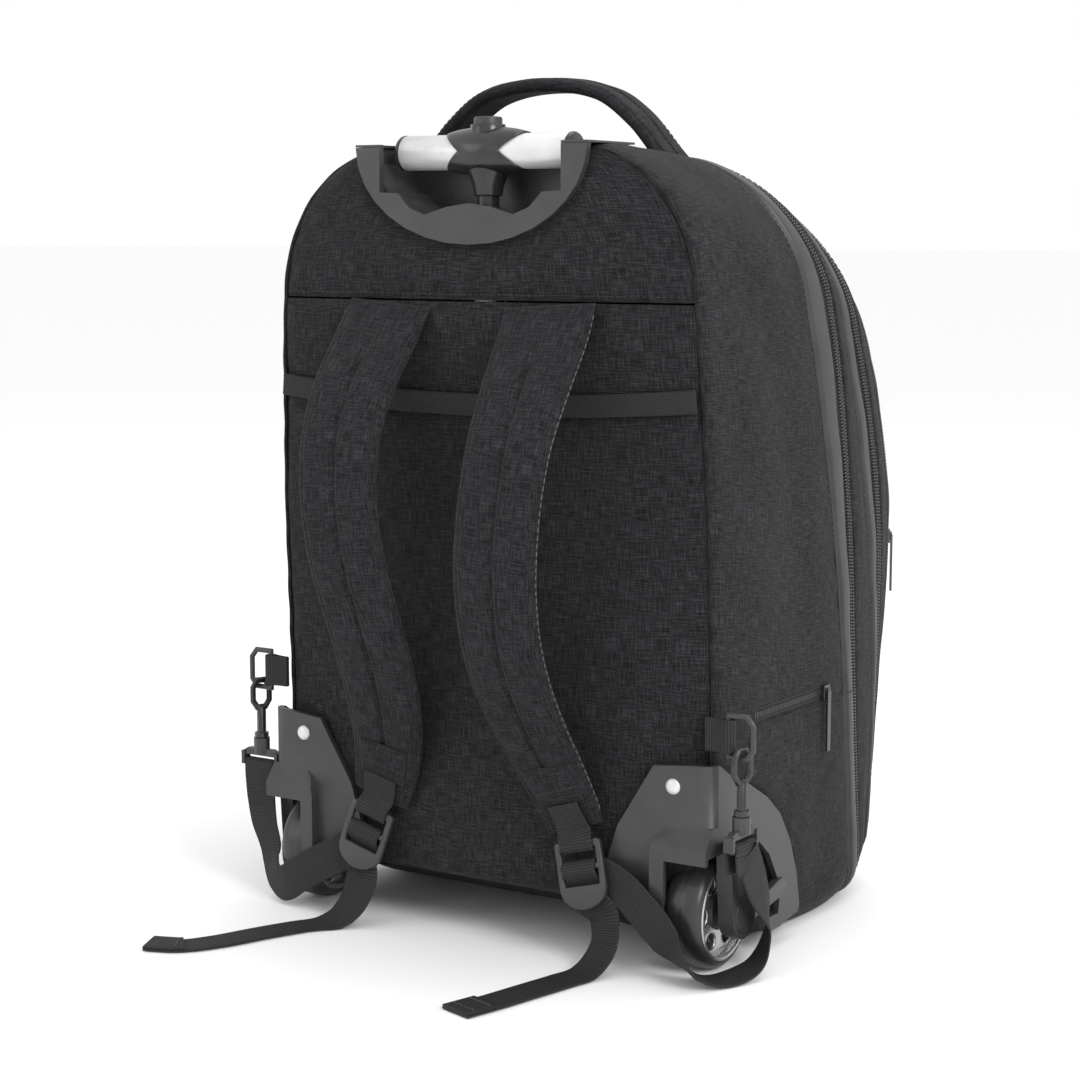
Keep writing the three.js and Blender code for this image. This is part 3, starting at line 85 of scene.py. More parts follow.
def area_lamp(name, place, aim, size, power):
    """A round lamp at a place in metres that shines towards a point."""
    data = bpy.data.lights.new(name, "AREA")
    data.shape = "DISK"
    data.size = size
    data.energy = power
    lamp = bpy.data.objects.new(name, data)
    lamp.location = place
    way = np.array(aim) - np.array(place)
    heading = np.arctan2(-way[0], way[1])
    tilt = np.arctan2(np.hypot(way[0], way[1]), -way[2])
    lamp.rotation_euler = (tilt, 0, heading)
    bpy.context.collection.objects.link(lamp)


area_lamp("key", (2.4, -1.1, 1.7), (0, 0, 0.28), 1.3, 46)
area_lamp("fill", (-1.9, -2.2, 1.2), (0, 0, 0.25), 1.6, 9)
area_lamp("top", (0.3, 0.6, 2.4), (0, 0, 0.3), 1.5, 12)

room = bpy.data.worlds.new("room")
room.use_nodes = True
room.node_tree.nodes["Background"].inputs["Color"].default_value = (1, 1, 1, 1)
room.node_tree.nodes["Background"].inputs["Strength"].default_value = 1.0
bpy.context.scene.world = room
bpy.context.scene.view_settings.view_transform = "Standard"
print("camera at", CAMERA_PLACE, "mm, lens", CAMERA_LENS, "mm, three lamps")

# %% [markdown]
# ## Helpers for meshes
# A surface here is a grid of points worked out with numpy. The faces of a grid follow from its
# numbers of rows and columns alone, so one helper makes them for every piece.

# %% Grids of faces, and pieces made of them


def grid_faces(rows, cols, loop_rows=False, loop_cols=False):
    """Corners of each quad: (i, j), (i, j+1), (i+1, j+1), (i+1, j), counted modulo the size."""
    i, j = np.meshgrid(np.arange(rows if loop_rows else rows - 1),
                       np.arange(cols if loop_cols else cols - 1), indexing="ij")
    below, right = (i + 1) % rows, (j + 1) % cols
    corners = [i * cols + j, i * cols + right, below * cols + right, below * cols + j]
    return np.stack(corners, -1).reshape(-1, 4)


def lengths_along(points, axis):
    """Distance travelled along one axis of a grid, in millimetres, from its first point."""
    step = np.linalg.norm(np.diff(points, axis=axis), axis=-1)
    return np.insert(np.cumsum(step, axis=axis), 0, 0, axis=axis)


UV_MM = 100


def new_object(name, points, faces, uv, material):
    """Object at the origin with points in millimetres, faces as lists and one uv pair a corner."""
    mesh = bpy.data.meshes.new(name)
    mesh.from_pydata(to_frame(points).tolist(), [], faces)
    if uv is not None:
        layer = mesh.uv_layers.new(name="weave")
        layer.data.foreach_set("uv", np.asarray(uv, np.float32).ravel())
    mesh.shade_smooth()
    if material:
        mesh.materials.append(material)
    piece = bpy.data.objects.new(name, mesh)
    bpy.context.collection.objects.link(piece)
    return piece


def face_normals(points, faces):
    """Normal of a quad = cross product of its two diagonals; its length is twice the area."""
    a, b, c, d = (points[faces[:, k]] for k in range(4))
    return np.cross(c - a, d - b), (a + b + c + d) / 4


def grid_piece(name, grid, material, loop_rows=False, loop_cols=False, caps=False, centre=None,
               keep=None, away=None, flat_uv=False):
    """Piece from a grid (rows, cols, 3). Its uv is the distance along rows and columns, or for a
    flat uv its x and z; faces point away from the centre, along the away direction, or outwards."""
    rows, cols = grid.shape[:2]
    points = grid.reshape(-1, 3)
    quads = grid_faces(rows, cols, loop_rows, loop_cols)
    across = np.concatenate([grid, grid[:, :1]], 1) if loop_cols else grid
    u = lengths_along(across, 1).mean(0) / UV_MM
    v = lengths_along(grid, 0).mean(1) / UV_MM
    if loop_rows:
        v = np.append(v, v[-1] + v[1])
    i, j = np.divmod(np.arange(len(quads)), cols if loop_cols else cols - 1)
    uv = np.stack([np.stack([u[j + b], v[i + a]], -1) for a, b in ((0, 0), (0, 1), (1, 1), (1, 0))], 1)
    if flat_uv:
        uv = points[quads][..., [0, 2]] / UV_MM
    if keep is not None:
        middle = points[quads].mean(1)
        kept = keep(middle)
        quads, uv = quads[kept], uv[kept]
    normals, middles = face_normals(points, quads)
    if away is not None:
        turned = (normals @ np.array(away, float)).sum() < 0
    elif centre is not None:
        turned = (normals * (middles - np.array(centre, float))).sum() < 0
    else:
        turned = (normals * (middles - middles.mean(0))).sum() < 0
    if turned:
        quads, uv = quads[:, ::-1], uv[:, ::-1]
    faces = quads.tolist()
    uv = uv.reshape(-1, 2)
    if caps:
        first = np.arange(cols)
        last = (rows - 1) * cols + first
        ends = [first[::-1], last] if not turned else [first, last[::-1]]
        faces += [end.tolist() for end in ends]
        uv = np.concatenate([uv, np.zeros((2 * cols, 2))])
    return new_object(name, points, faces, uv, material)


def wall(piece, thickness):
    """Solidify: the given surface is the outer one, and the wall grows inwards from it."""
    solid = piece.modifiers.new("wall", "SOLIDIFY")
    solid.thickness = thickness / 1000
    solid.offset = -1
    return piece


def settle(piece, body, slot, *nodes):
    """The piece rides on a body and stands for the CAD nodes, which are hidden; the slot is not used."""
    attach(piece, body)
    if nodes:
        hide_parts(*nodes)
    return piece


def hermite(nodes, values, x):
    """Smooth value at x of a table: cubic between nodes, with the slope of the nodes on each side,
    and straight beyond the ends. Values may have a row of their own for each row of x."""
    nodes = np.asarray(nodes, float)
    values = np.asarray(values, float)
    slopes = np.empty_like(values)
    slopes[..., 1:-1] = (values[..., 2:] - values[..., :-2]) / (nodes[2:] - nodes[:-2])
    slopes[..., 0] = (values[..., 1] - values[..., 0]) / (nodes[1] - nodes[0])
    slopes[..., -1] = (values[..., -1] - values[..., -2]) / (nodes[-1] - nodes[-2])
    i = np.clip(np.searchsorted(nodes, x, side="right") - 1, 0, len(nodes) - 2)
    span = nodes[i + 1] - nodes[i]
    t = (x - nodes[i]) / span

    def pick(table, k):
        if table.ndim == 1:
            return table[k]
        return np.take_along_axis(np.broadcast_to(table, (*k.shape[:-1], table.shape[-1])), k, -1)

    a, b, sa, sb = pick(values, i), pick(values, i + 1), pick(slopes, i), pick(slopes, i + 1)
    inside = np.clip(t, 0, 1)
    t2, t3 = inside ** 2, inside ** 3
    curve = ((2 * t3 - 3 * t2 + 1) * a + (t3 - 2 * t2 + inside) * span * sa
             + (3 * t2 - 2 * t3) * b + (t3 - t2) * span * sb)
    return curve + np.where(t < 0, t * span * sa, 0) + np.where(t > 1, (t - 1) * span * sb, 0)


def ease(x, low, high):
    """0 below low, 1 above high, and a smooth rise between them."""
    t = np.clip((x - low) / (high - low), 0, 1)
    return t * t * (3 - 2 * t)


WAVE_SPREAD = 0.4


def ripples(u, v, seed, count, length):
    """Gentle unevenness: the mean of plane waves with random headings, phases and wavelengths."""
    draw = np.random.default_rng(seed)
    total = np.zeros(np.broadcast(u, v).shape)
    for _ in range(count):
        heading = np.pi * (draw.random() - 0.5)
        pace = 2 * np.pi / (length * (1 + WAVE_SPREAD * (draw.random() - 0.5) * 2))
        total = total + np.sin(pace * (u * np.cos(heading) + v * np.sin(heading))
                               + 2 * np.pi * draw.random())
    return total / np.sqrt(count)


# %% [markdown]
# ## Node groups for the finishes
# Three effects are used by several materials, so each is a node group with named inputs and
# outputs: the yarns of a melange cloth, the ribs of webbing and the grain of moulded plastic.
# The groups put out only colours and values. The shader itself stays in each material.

# %% A small writer of node trees


class Nodes:
    """Adds nodes to a tree, links what is given as a socket and sets what is given as a value."""

    def __init__(self, tree):
        self.tree = tree

    def add(self, kind, inputs=(), **settings):
        node = self.tree.nodes.new("ShaderNode" + kind)
        for key, value in settings.items():
            setattr(node, key, value)
        for key, value in dict(inputs).items():
            if isinstance(value, bpy.types.NodeSocket):
                self.tree.links.new(value, node.inputs[key])
            else:
                node.inputs[key].default_value = value
        return node

    def math(self, operation, *values):
        """Output of a Math node with the values as its inputs."""
        return self.add("Math", enumerate(values), operation=operation).outputs[0]

    def mix(self, share, a, b):
        """Colour a, going over to b as the share goes from 0 to 1."""
        return self.add("Mix", {0: share, 6: a, 7: b}, data_type="RGBA").outputs[2]

    def ramp(self, value, low, high, a=0.0, b=1.0):
        """The range low to high stretched to a to b."""
        inputs = {"Value": value, "From Min": low, "From Max": high, "To Min": a, "To Max": b}
        return self.add("MapRange", inputs).outputs[0]

    def noise(self, vector, scale, detail=2.0, rough=0.5):
        """Value of a noise texture, 0 to 1."""
        inputs = {"Vector": vector, "Scale": scale, "Detail": detail, "Roughness": rough}
        return self.add("TexNoise", inputs).outputs["Fac"]

    def stretch(self, vector, scale):
        """The vector with each of its parts times the scale."""
        return self.add("Mapping", {"Vector": vector, "Scale": scale}).outputs[0]


def new_group(name, inputs, outputs):
    """Node group with sockets: inputs and outputs are rows of a name, a kind and a value."""
    tree = bpy.data.node_groups.new(name, "ShaderNodeTree")
    for socket, kind, value in inputs:
        made = tree.interface.new_socket(name=socket, in_out="INPUT", socket_type="NodeSocket" + kind)
        if value is not None:
            made.default_value = value
    for socket, kind in outputs:
        tree.interface.new_socket(name=socket, in_out="OUTPUT", socket_type="NodeSocket" + kind)
    return tree, tree.nodes.new("NodeGroupInput").outputs, tree.nodes.new("NodeGroupOutput").inputs


# %% Yarns of the melange cloth
SURFACE_OUT = [("Color", "Color"), ("Roughness", "Float"), ("Height", "Float")]
cloth_tree, given, result = new_group("melange yarns", [
    ("Place", "Vector", None), ("Dark", "Color", (0.01, 0.01, 0.012, 1)),
    ("Light", "Color", (0.09, 0.09, 0.1, 1)), ("Fleck", "Float", 0.5)], SURFACE_OUT)
n = Nodes(cloth_tree)
warp = n.noise(n.stretch(given["Place"], (1.15, 0.085, 1)), 1.0, 2.0, 0.6)
weft = n.noise(n.stretch(given["Place"], (0.085, 1.15, 7)), 1.0, 2.0, 0.6)
parts = n.add("SeparateXYZ", {0: given["Place"]}).outputs
yarn_pace = 2 * np.pi / 1.05
over = n.math("MULTIPLY", n.math("SINE", n.math("MULTIPLY", parts[0], yarn_pace)),
              n.math("SINE", n.math("MULTIPLY", parts[1], yarn_pace)))
which = n.ramp(over, -0.6, 0.6)
tone = n.add("Mix", {0: which, 2: warp, 3: weft}).outputs[0]
speck = n.noise(given["Place"], 1.9, 1.0)
tone = n.math("ADD", n.math("MULTIPLY", tone, 0.72), n.math("MULTIPLY", speck, 0.28))
share = n.ramp(tone, 0.40, 0.68)
share = n.math("POWER", share, n.ramp(given["Fleck"], 0, 1, 2.2, 0.9))
cloud = n.noise(given["Place"], 0.018, 3.0)
colour = n.mix(share, given["Dark"], given["Light"])
colour = n.mix(n.ramp(cloud, 0.3, 0.7, 0.0, 0.22), colour, given["Dark"])
cloth_tree.links.new(colour, result["Color"])
cloth_tree.links.new(n.ramp(share, 0, 1, 0.95, 0.8), result["Roughness"])
relief = n.math("ADD", n.math("MULTIPLY", n.math("ABSOLUTE", over), 0.6), n.math("MULTIPLY", share, 0.4))
cloth_tree.links.new(relief, result["Height"])
print("group", cloth_tree.name, len(cloth_tree.nodes), "nodes")

# %% Ribs of the webbing, with a painted highlight on their crests
web_tree, given, result = new_group("webbing ribs and painted crest highlight", [
    ("Place", "Vector", None), ("Colour", "Color", (0.012, 0.012, 0.013, 1)), ("Pitch", "Float", 1.6),
    ("Slant", "Float", 0.35)], SURFACE_OUT)
n = Nodes(web_tree)
parts = n.add("SeparateXYZ", {0: given["Place"]}).outputs
along = n.math("ADD", parts[1], n.math("MULTIPLY", parts[0], given["Slant"]))
turns = n.math("DIVIDE", n.math("MULTIPLY", along, 2 * np.pi), given["Pitch"])
rib = n.ramp(n.math("SINE", turns), -1, 1)
thread = n.ramp(n.math("SINE", n.math("MULTIPLY", parts[0], 2 * np.pi / 0.8)), -1, 1)
speck = n.noise(given["Place"], 0.9, 2.0)
high = n.math("MULTIPLY", n.math("POWER", rib, 0.6), n.math("ADD", n.math("MULTIPLY", thread, 0.3), 0.7))
# Painted highlight: the colour is lightened towards pale grey on the rib crests, more where the rib is
# higher, and the speck noise varies it at random.
light = n.mix(n.math("MULTIPLY", high, n.ramp(speck, 0.3, 0.7, 0.2, 0.75)), given["Colour"],
              (0.055, 0.055, 0.058, 1))
web_tree.links.new(light, result["Color"])
web_tree.links.new(n.ramp(speck, 0.2, 0.8, 0.62, 0.85), result["Roughness"])
web_tree.links.new(high, result["Height"])
print("group", web_tree.name, len(web_tree.nodes), "nodes")

# %% Grain and wear of moulded plastic and rubber
grain_tree, given, result = new_group("moulded grain", [
    ("Place", "Vector", None), ("Colour", "Color", (0.04, 0.04, 0.042, 1)), ("Grain", "Float", 1.4),
    ("Rough", "Float", 0.5), ("Wear", "Float", 0.3)], SURFACE_OUT)
n = Nodes(grain_tree)
fine = n.noise(given["Place"], given["Grain"], 3.0, 0.6)
broad = n.noise(given["Place"], 0.045, 4.0, 0.55)
scuff = n.noise(n.stretch(given["Place"], (0.9, 0.12, 0.35)), 1.0, 4.0, 0.7)
rubbed = n.math("MULTIPLY", n.ramp(scuff, 0.62, 0.8), given["Wear"])
colour = n.mix(n.ramp(broad, 0.3, 0.75, 0.0, 0.25), given["Colour"], (0.09, 0.09, 0.092, 1))
colour = n.mix(n.math("MULTIPLY", rubbed, 0.5), colour, (0.16, 0.16, 0.16, 1))
grain_tree.links.new(colour, result["Color"])
rough = n.math("ADD", given["Rough"], n.ramp(broad, 0.2, 0.8, -0.06, 0.08))
grain_tree.links.new(n.math("ADD", rough, n.math("MULTIPLY", rubbed, 0.25)), result["Roughness"])
grain_tree.links.new(n.math("SUBTRACT", fine, n.math("MULTIPLY", rubbed, 0.4)), result["Height"])
print("group", grain_tree.name, len(grain_tree.nodes), "nodes")

# %% Materials that place the groups


def surface_material(name, group, values, by_uv, bump, depth, shader=()):
    """Principled material that reads one group. Place is in millimetres: the piece's own uv, or
    its Object coordinates. Values go to the group's inputs, shader values to the shader itself."""
    material = bpy.data.materials.new(name)
    material.use_nodes = True
    tree = material.node_tree
    n = Nodes(tree)
    principled = tree.nodes["Principled BSDF"]
    if by_uv:
        source = n.add("UVMap", uv_map="weave").outputs[0]
    else:
        source = n.add("TexCoord").outputs["Object"]
    scale = UV_MM if by_uv else 1000
    place = n.stretch(source, (scale, scale, scale))
    node = n.add("Group", node_tree=group)
    tree.links.new(place, node.inputs["Place"])
    for key, value in values.items():
        node.inputs[key].default_value = value
    tree.links.new(node.outputs["Color"], principled.inputs["Base Color"])
    tree.links.new(node.outputs["Roughness"], principled.inputs["Roughness"])
    relief = n.add("Bump", {"Height": node.outputs["Height"], "Strength": bump, "Distance": depth / 1000})
    tree.links.new(relief.outputs[0], principled.inputs["Normal"])
    for key, value in dict(shader).items():
        principled.inputs[key].default_value = value
    return material


def cloth_material(name, dark, light, fleck=0.5, bump=0.5):
    """Melange cloth of dark and light yarns; a larger fleck shows more of the light ones."""
    values = {"Dark": (*dark, 1), "Light": (*light, 1), "Fleck": fleck}
    sheen = {"Sheen Weight": 0.05, "Sheen Roughness": 0.4, "Specular IOR Level": 0.2}
    return surface_material(name, cloth_tree, values, True, bump, 0.25, sheen)


def plastic_material(name, colour, rough, grain=1.4, bump=0.12, wear=0.3, **shader):
    """Plastic, rubber or metal of one colour, with its roughness, grain and wear."""
    values = {"Colour": (*colour, 1), "Grain": grain, "Rough": rough, "Wear": wear}
    return surface_material(name, grain_tree, values, False, bump, 0.2, shader)


def web_material(name, colour, pitch, slant, bump=0.8):
    """Webbing of one colour, with ribs at a pitch in mm and a slant over its width, and a painted highlight
    on the rib crests.
    """
    values = {"Colour": (*colour, 1), "Pitch": pitch, "Slant": slant}
    return surface_material(name, web_tree, values, True, bump, 0.4, {"Specular IOR Level": 0.3})


melange = cloth_material("melange cloth", (0.0035, 0.0035, 0.0042), (0.062, 0.062, 0.068))
strap_cloth = cloth_material("strap cloth", (0.004, 0.004, 0.0048), (0.062, 0.062, 0.07), 0.5)
webbing = web_material("ribbed webbing", (0.0075, 0.0075, 0.008), 1.7, 0.0)
twill = web_material("twill band", (0.006, 0.006, 0.0065), 2.2, 1.0)
edge_tape = web_material("edge tape", (0.005, 0.005, 0.0055), 1.2, 0.3, 0.5)
housing_plastic = plastic_material("housing plastic", (0.028, 0.028, 0.03), 0.44)
hardware_plastic = plastic_material("hardware plastic", (0.026, 0.026, 0.027), 0.4, 1.8, 0.08)
gloss_plastic = plastic_material("gloss plastic", (0.012, 0.012, 0.013), 0.22, 2.5, 0.03, 0.1)
coated_strip = plastic_material("coated strip", (0.013, 0.013, 0.014), 0.42, 0.8, 0.1, 0.05)
coil_plastic = plastic_material("zip coil", (0.02, 0.02, 0.021), 0.35, 3.0, 0.03, 0.1)
thread = plastic_material("stitching thread", (0.085, 0.085, 0.09), 0.7, 4.0, 0.2, 0.0)
dark_thread = plastic_material("dark thread", (0.006, 0.006, 0.006), 0.75, 4.0, 0.2, 0.0)
tyre_rubber = plastic_material("tyre rubber", (0.014, 0.014, 0.015), 0.34, 1.1, 0.1, 0.35)
silver = plastic_material("silver tube", (0.72, 0.72, 0.73), 0.3, 2.0, 0.02, 0.05, Metallic=0.25)
steel = plastic_material("rim metal", (0.55, 0.55, 0.56), 0.26, 1.5, 0.04, 0.1, Metallic=0.9)
dark_metal = plastic_material("pull metal", (0.07, 0.07, 0.075), 0.25, 1.5, 0.04, 0.2, Metallic=0.8)
print(len(bpy.data.materials), "materials")

# %% [markdown]
# ## The body as one surface
# The bag's outside is a stack of closed outlines, one for each seam that runs round it, from the
# back seam to the middle of the front. A panel of cloth is what lies between two of them. A body
# like this could be sculpted, but a table of seams keeps each zip exactly where it was measured.

# %% Outlines of the seams
BAG_WIDTH, BAG_HEIGHT, BAG_DEPTH, SEAM_Y = 337, 521, 305, -106
CORNER_WIDTH, CORNER_HEIGHT, BASE_CORNER = 88, 98, 24
DRAW_IN, WIDEST = 7.5, 200
SIDE_TOP = BAG_HEIGHT - CORNER_HEIGHT
DEPTH_HEIGHTS = np.array([0.02, 0.3, 0.55, 0.8, 1.0]) * BAG_HEIGHT
# Width, top and base as shares of the body, then the depth at five heights
SEAMS = np.array([
    [1.0, 1.0, 38 / 521, 0.025, 0.035, 0.019, 0.0, 0.003],
    [1.002, 0.998, 0.045, 0.18, 0.19, 0.17, 0.14, 0.12],
    [1.006, 0.993, 0.0, 0.37, 0.38, 0.35, 0.29, 0.24],
    [1.015, 0.988, 0.0, 0.72, 0.62, 0.54, 0.46, 0.37],
    [1.012, 0.984, 0.012, 0.765, 0.675, 0.635, 0.585, 0.43],
    [0.985, 0.965, 0.034, 0.825, 0.8, 0.745, 0.645, 0.53],
    [0.975, 0.953, 0.042, 0.845, 0.83, 0.83, 0.73, 0.56],
    [0.92, 0.92, 0.055, 0.895, 0.91, 0.935, 0.82, 0.66],
    [0.89, 0.902, 0.07, 0.925, 0.94, 0.965, 0.85, 0.69],
    [0.72, 0.83, 0.135, 0.96, 0.975, 1.0, 0.9, 0.76],
    [0.45, 0.71, 0.23, 0.975, 0.99, 1.01, 0.93, 0.86],
    [0.2, 0.58, 0.34, 0.985, 0.995, 1.013, 0.96, 0.9]])
BACK, MAIN_A, MAIN_B, FRONT_A, FRONT_B, POCKET_A, POCKET_B, MIDDLE = 0, 3, 4, 5, 6, 7, 8, 12
BODY_CENTRE = (0, 40, 260)


def side_at(half_width, top, z):
    """Half width: straight sides drawn in as the square of the way from the widest height, with a
    quarter ellipse at the top corner."""
    corner_z = top - CORNER_HEIGHT
    drawn = DRAW_IN * ((np.minimum(z, corner_z) - WIDEST) / (SIDE_TOP - WIDEST)) ** 2
    rise = np.clip((z - corner_z) / CORNER_HEIGHT, 0, 1)
    return half_width - drawn - CORNER_WIDTH * (1 - np.sqrt(1 - rise ** 2))


def seam_depth(seam, z):
    """Depth at height z: the back seam's plane + the body's depth * the seam's share."""
    return SEAM_Y + BAG_DEPTH * hermite(DEPTH_HEIGHTS, seam[3:], z)


def swell(seam, z):
    """Outward swell of the sides: a squared half sine over the height, 0 at the back."""
    return 0 if seam[5] < 0.1 else 3.5 * np.sin(np.pi * z / BAG_HEIGHT) ** 2


def seam_outline(seam):
    """Closed outline: base line, corner arc, side, quarter ellipse and top line, then mirrored."""
    half_width, top, base = seam[0] * BAG_WIDTH / 2, seam[1] * BAG_HEIGHT, seam[2] * BAG_HEIGHT
    squeeze = min(1, half_width / (1.5 * CORNER_WIDTH))
    corner = min(BASE_CORNER, half_width / 3)
    low = side_at(half_width, top, base + corner)
    corner_z = top - CORNER_HEIGHT * squeeze
    bend = np.linspace(-np.pi / 2, 0, 8)[1:]
    z = np.linspace(base + corner, corner_z, 56)[1:]
    x = side_at(half_width, top, np.minimum(z, top - CORNER_HEIGHT)) + swell(seam, z)
    arc = np.linspace(0, np.pi / 2, 30)[1:]
    wide = CORNER_WIDTH * squeeze
    line = np.linspace(0, 1, 12)
    xs = [(low - corner) * line, low - corner + corner * np.cos(bend), x,
          x[-1] - wide + wide * np.cos(arc), (x[-1] - wide) * (1 - line[1:])]
    zs = [base + 0 * line, base + corner + corner * np.sin(bend), z,
          corner_z + (top - corner_z) * np.sin(arc), top + 0 * line[1:]]
    xs, zs = np.concatenate(xs), np.concatenate(zs)
    xs = np.concatenate([xs, -xs[-2:0:-1]])
    zs = np.concatenate([zs, zs[-2:0:-1]])
    return np.stack([xs, seam_depth(seam, zs), zs], -1)


outlines = np.array([seam_outline(seam) for seam in SEAMS])
front_z = BAG_HEIGHT * (SEAMS[-1, 1] + SEAMS[-1, 2]) / 2
front_pole = np.array([0, seam_depth(SEAMS[-1], front_z) + 1, front_z])
outlines = np.concatenate([outlines, np.broadcast_to(front_pole, (1, *outlines.shape[1:]))])
seam_steps = np.linalg.norm(np.diff(outlines, axis=0), axis=-1).mean(1)
seam_places = np.insert(np.cumsum(seam_steps), 0, 0)
print(outlines.shape[1], "points round the body, seams at", seam_places.round())


def body_surface(q):
    """Points for seam numbers q, with a smooth cubic from seam to seam, and their outward
    normals: the cross product of the differences along and across the seams."""
    q = np.asarray(q, float)

    def place(q):
        x = np.interp(q, np.arange(len(seam_places)), seam_places)
        columns = outlines.transpose(1, 2, 0)
        return hermite(seam_places, columns, np.broadcast_to(x, (*columns.shape[:2], len(q))))

    points = place(q).transpose(2, 0, 1)
    ahead = (place(np.minimum(q + 0.03, 12)) - place(np.maximum(q - 0.03, 0))).transpose(2, 0, 1)
    along = np.roll(points, -1, 1) - np.roll(points, 1, 1)
    normals = np.cross(ahead, along)
    size = np.linalg.norm(normals, axis=-1, keepdims=True)
    normals = np.where(size > 1e-6, normals / np.maximum(size, 1e-9), (0, 1, 0))
    outward = points - np.array(BODY_CENTRE)
    if (normals * outward).sum() < 0:
        normals = -normals
    return points, normals


# %% [markdown]
# ## Cloth panels of the body
# Stuffed cloth swells between its seams and is pulled in where it is sewn. The panels rise from
# the measured surface by a low dome and sink by about a millimetre beside each seam. Slow waves
# along the panel give it the unevenness of a packed bag, and Solidify gives the cloth its wall.

# %% Panels between the seams
HOOD_X, HOOD_Z, WHEEL_Y, WHEEL_Z, HOOD_RADIUS = 133.7, 99.3, -75.0, 38.0, 44.1
WELL_HALF_WIDTH, WELL_BACK_Y = 81.0, -69.5
CLOTH_WALL, ZIP_WALL = 2.0, 1.4


def outside_wheel_room(points):
    """True where the cloth is not cut away for the wheel housings and for the cup's well."""
    x, y, z = np.abs(points[:, 0]), points[:, 1], points[:, 2]
    well = (x < WELL_HALF_WIDTH) & (y < WELL_BACK_Y) & (z > 450)
    low = (y < WHEEL_Y + 43.8) & (z < 39.3)
    rear = (y < WHEEL_Y + 12.3) & (z < HOOD_Z)
    round_top = (y - WHEEL_Y) ** 2 + (z - WHEEL_Z) ** 2 < HOOD_RADIUS ** 2
    return ~(((x > HOOD_X) & (low | rear | round_top)) | well)


def body_panel(name, q0, q1, rows, dome, material, node, seed, sink=1.3):
    """Cloth between two seam numbers = the body + its normal * (dome - dip at the seams + waves)."""
    q = np.linspace(q0 + 0.004 * (q0 > 0), min(q1, MIDDLE) - 0.004 * (q1 < MIDDLE), rows)
    points, normals = body_surface(q)
    across = lengths_along(points, 0)
    width = across[-1:]
    edge_a, edge_b = across, width - across
    if q1 == MIDDLE:
        edge_b = edge_a + 40
    near = np.minimum(edge_a, edge_b)
    lift = dome * (1 - np.exp(-near / 16)) - sink * np.exp(-(near / 3.2) ** 2)
    along = lengths_along(points, 1)
    front = q1 == MIDDLE
    u, v = (points[..., 0], points[..., 2]) if front else (across, along)
    lift = lift + ripples(u, v, seed, 9, 150 if front else 95) * 0.9 * (1 - np.exp(-near / 20))
    lift = lift + ripples(across / 2.2, along, seed + 1, 6, 30) * 0.35 * np.exp(-near / 22)
    tight = ease(points[..., 2], 120, 200) + ease(points[..., 1], 20, 70)
    lift = np.where(lift > 0, lift * np.clip(tight, 0.12, 1), lift)
    shaped = points + normals * lift[..., None]
    shaped[..., 2] = np.maximum(shaped[..., 2], 0.4)
    piece = grid_piece(name, shaped, material, loop_cols=True, centre=BODY_CENTRE, keep=outside_wheel_room,
                       flat_uv=front)
    wall(piece, CLOTH_WALL)
    return settle(piece, "bag", "melange_fabric", node)


body_panel("gusset_cloth", BACK, MAIN_A, 64, 2.2, melange, "main_shell", 3)
body_panel("front_room_cloth", MAIN_B, FRONT_A, 26, 1.8, melange, "front_shell", 5)
body_panel("pocket_cloth", FRONT_B, POCKET_A, 22, 1.8, melange, "pocket_shell", 7)
body_panel("front_face_cloth", POCKET_B, MIDDLE, 60, 3.0, melange, "front_panel", 9)
print("cloth panels done")

# %% [markdown]
# ## Zips that run round the body
# Each zip has a smooth coated strip with a raised middle, and beside it a coil: two rows of small
# teeth that lock into each other. A tooth is one small block, repeated along the seam by numpy.
# Modelling the teeth, and not painting them, keeps them true in a close view.

# %% Small units repeated along a path


def even_path(points, normals, pitch, closed=True):
    """Places at an even pitch along a path, with the tangent and the normal at each."""
    if closed:
        points = np.concatenate([points, points[:1]])
        normals = np.concatenate([normals, normals[:1]])
    travel = np.insert(np.cumsum(np.linalg.norm(np.diff(points, axis=0), axis=-1)), 0, 0)
    count = max(int(travel[-1] / pitch), 2)
    s = (np.arange(count) + 0.5) * travel[-1] / count
    at = np.stack([np.interp(s, travel, points[:, k]) for k in range(3)], -1)
    normal = np.stack([np.interp(s, travel, normals[:, k]) for k in range(3)], -1)
    ahead = np.stack([np.interp(s + 0.5, travel, points[:, k]) for k in range(3)], -1)
    behind = np.stack([np.interp(s - 0.5, travel, points[:, k]) for k in range(3)], -1)
    tangent = ahead - behind
    tangent /= np.maximum(np.linalg.norm(tangent, axis=-1, keepdims=True), 1e-9)
    normal -= tangent * (normal * tangent).sum(-1, keepdims=True)
    normal /= np.maximum(np.linalg.norm(normal, axis=-1, keepdims=True), 1e-9)
    return at, tangent, normal


def stitch_unit(length, radius):
    """Short rod along y with drawn-in ends: four rings of five points."""
    angle = 2 * np.pi * np.arange(5) / 5
    rows = [(-0.5, 0.35), (-0.3, 1.0), (0.3, 1.0), (0.5, 0.35)]
    ring = [np.stack([radius * wide * np.cos(angle), np.full(5, y * length),
                      radius * wide * np.sin(angle)], -1) for y, wide in rows]
    quads = grid_faces(4, 5, loop_cols=True).tolist()
    return np.concatenate(ring), quads + [[4, 3, 2, 1, 0], [15, 16, 17, 18, 19]]


def tooth_unit(width, length, height):
    """Block with a narrower top: eight corners."""
    low = np.array([[-1, -1, 0], [1, -1, 0], [1, 1, 0], [-1, 1, 0]]) * (width / 2, length / 2, 0)
    high = low * (0.75, 0.6, 1) + (0, 0, height)
    return np.concatenate([low, high]), [[3, 2, 1, 0], [4, 5, 6, 7], [0, 1, 5, 4], [1, 2, 6, 5], [2, 3, 7, 6],
                                         [3, 0, 4, 7]]


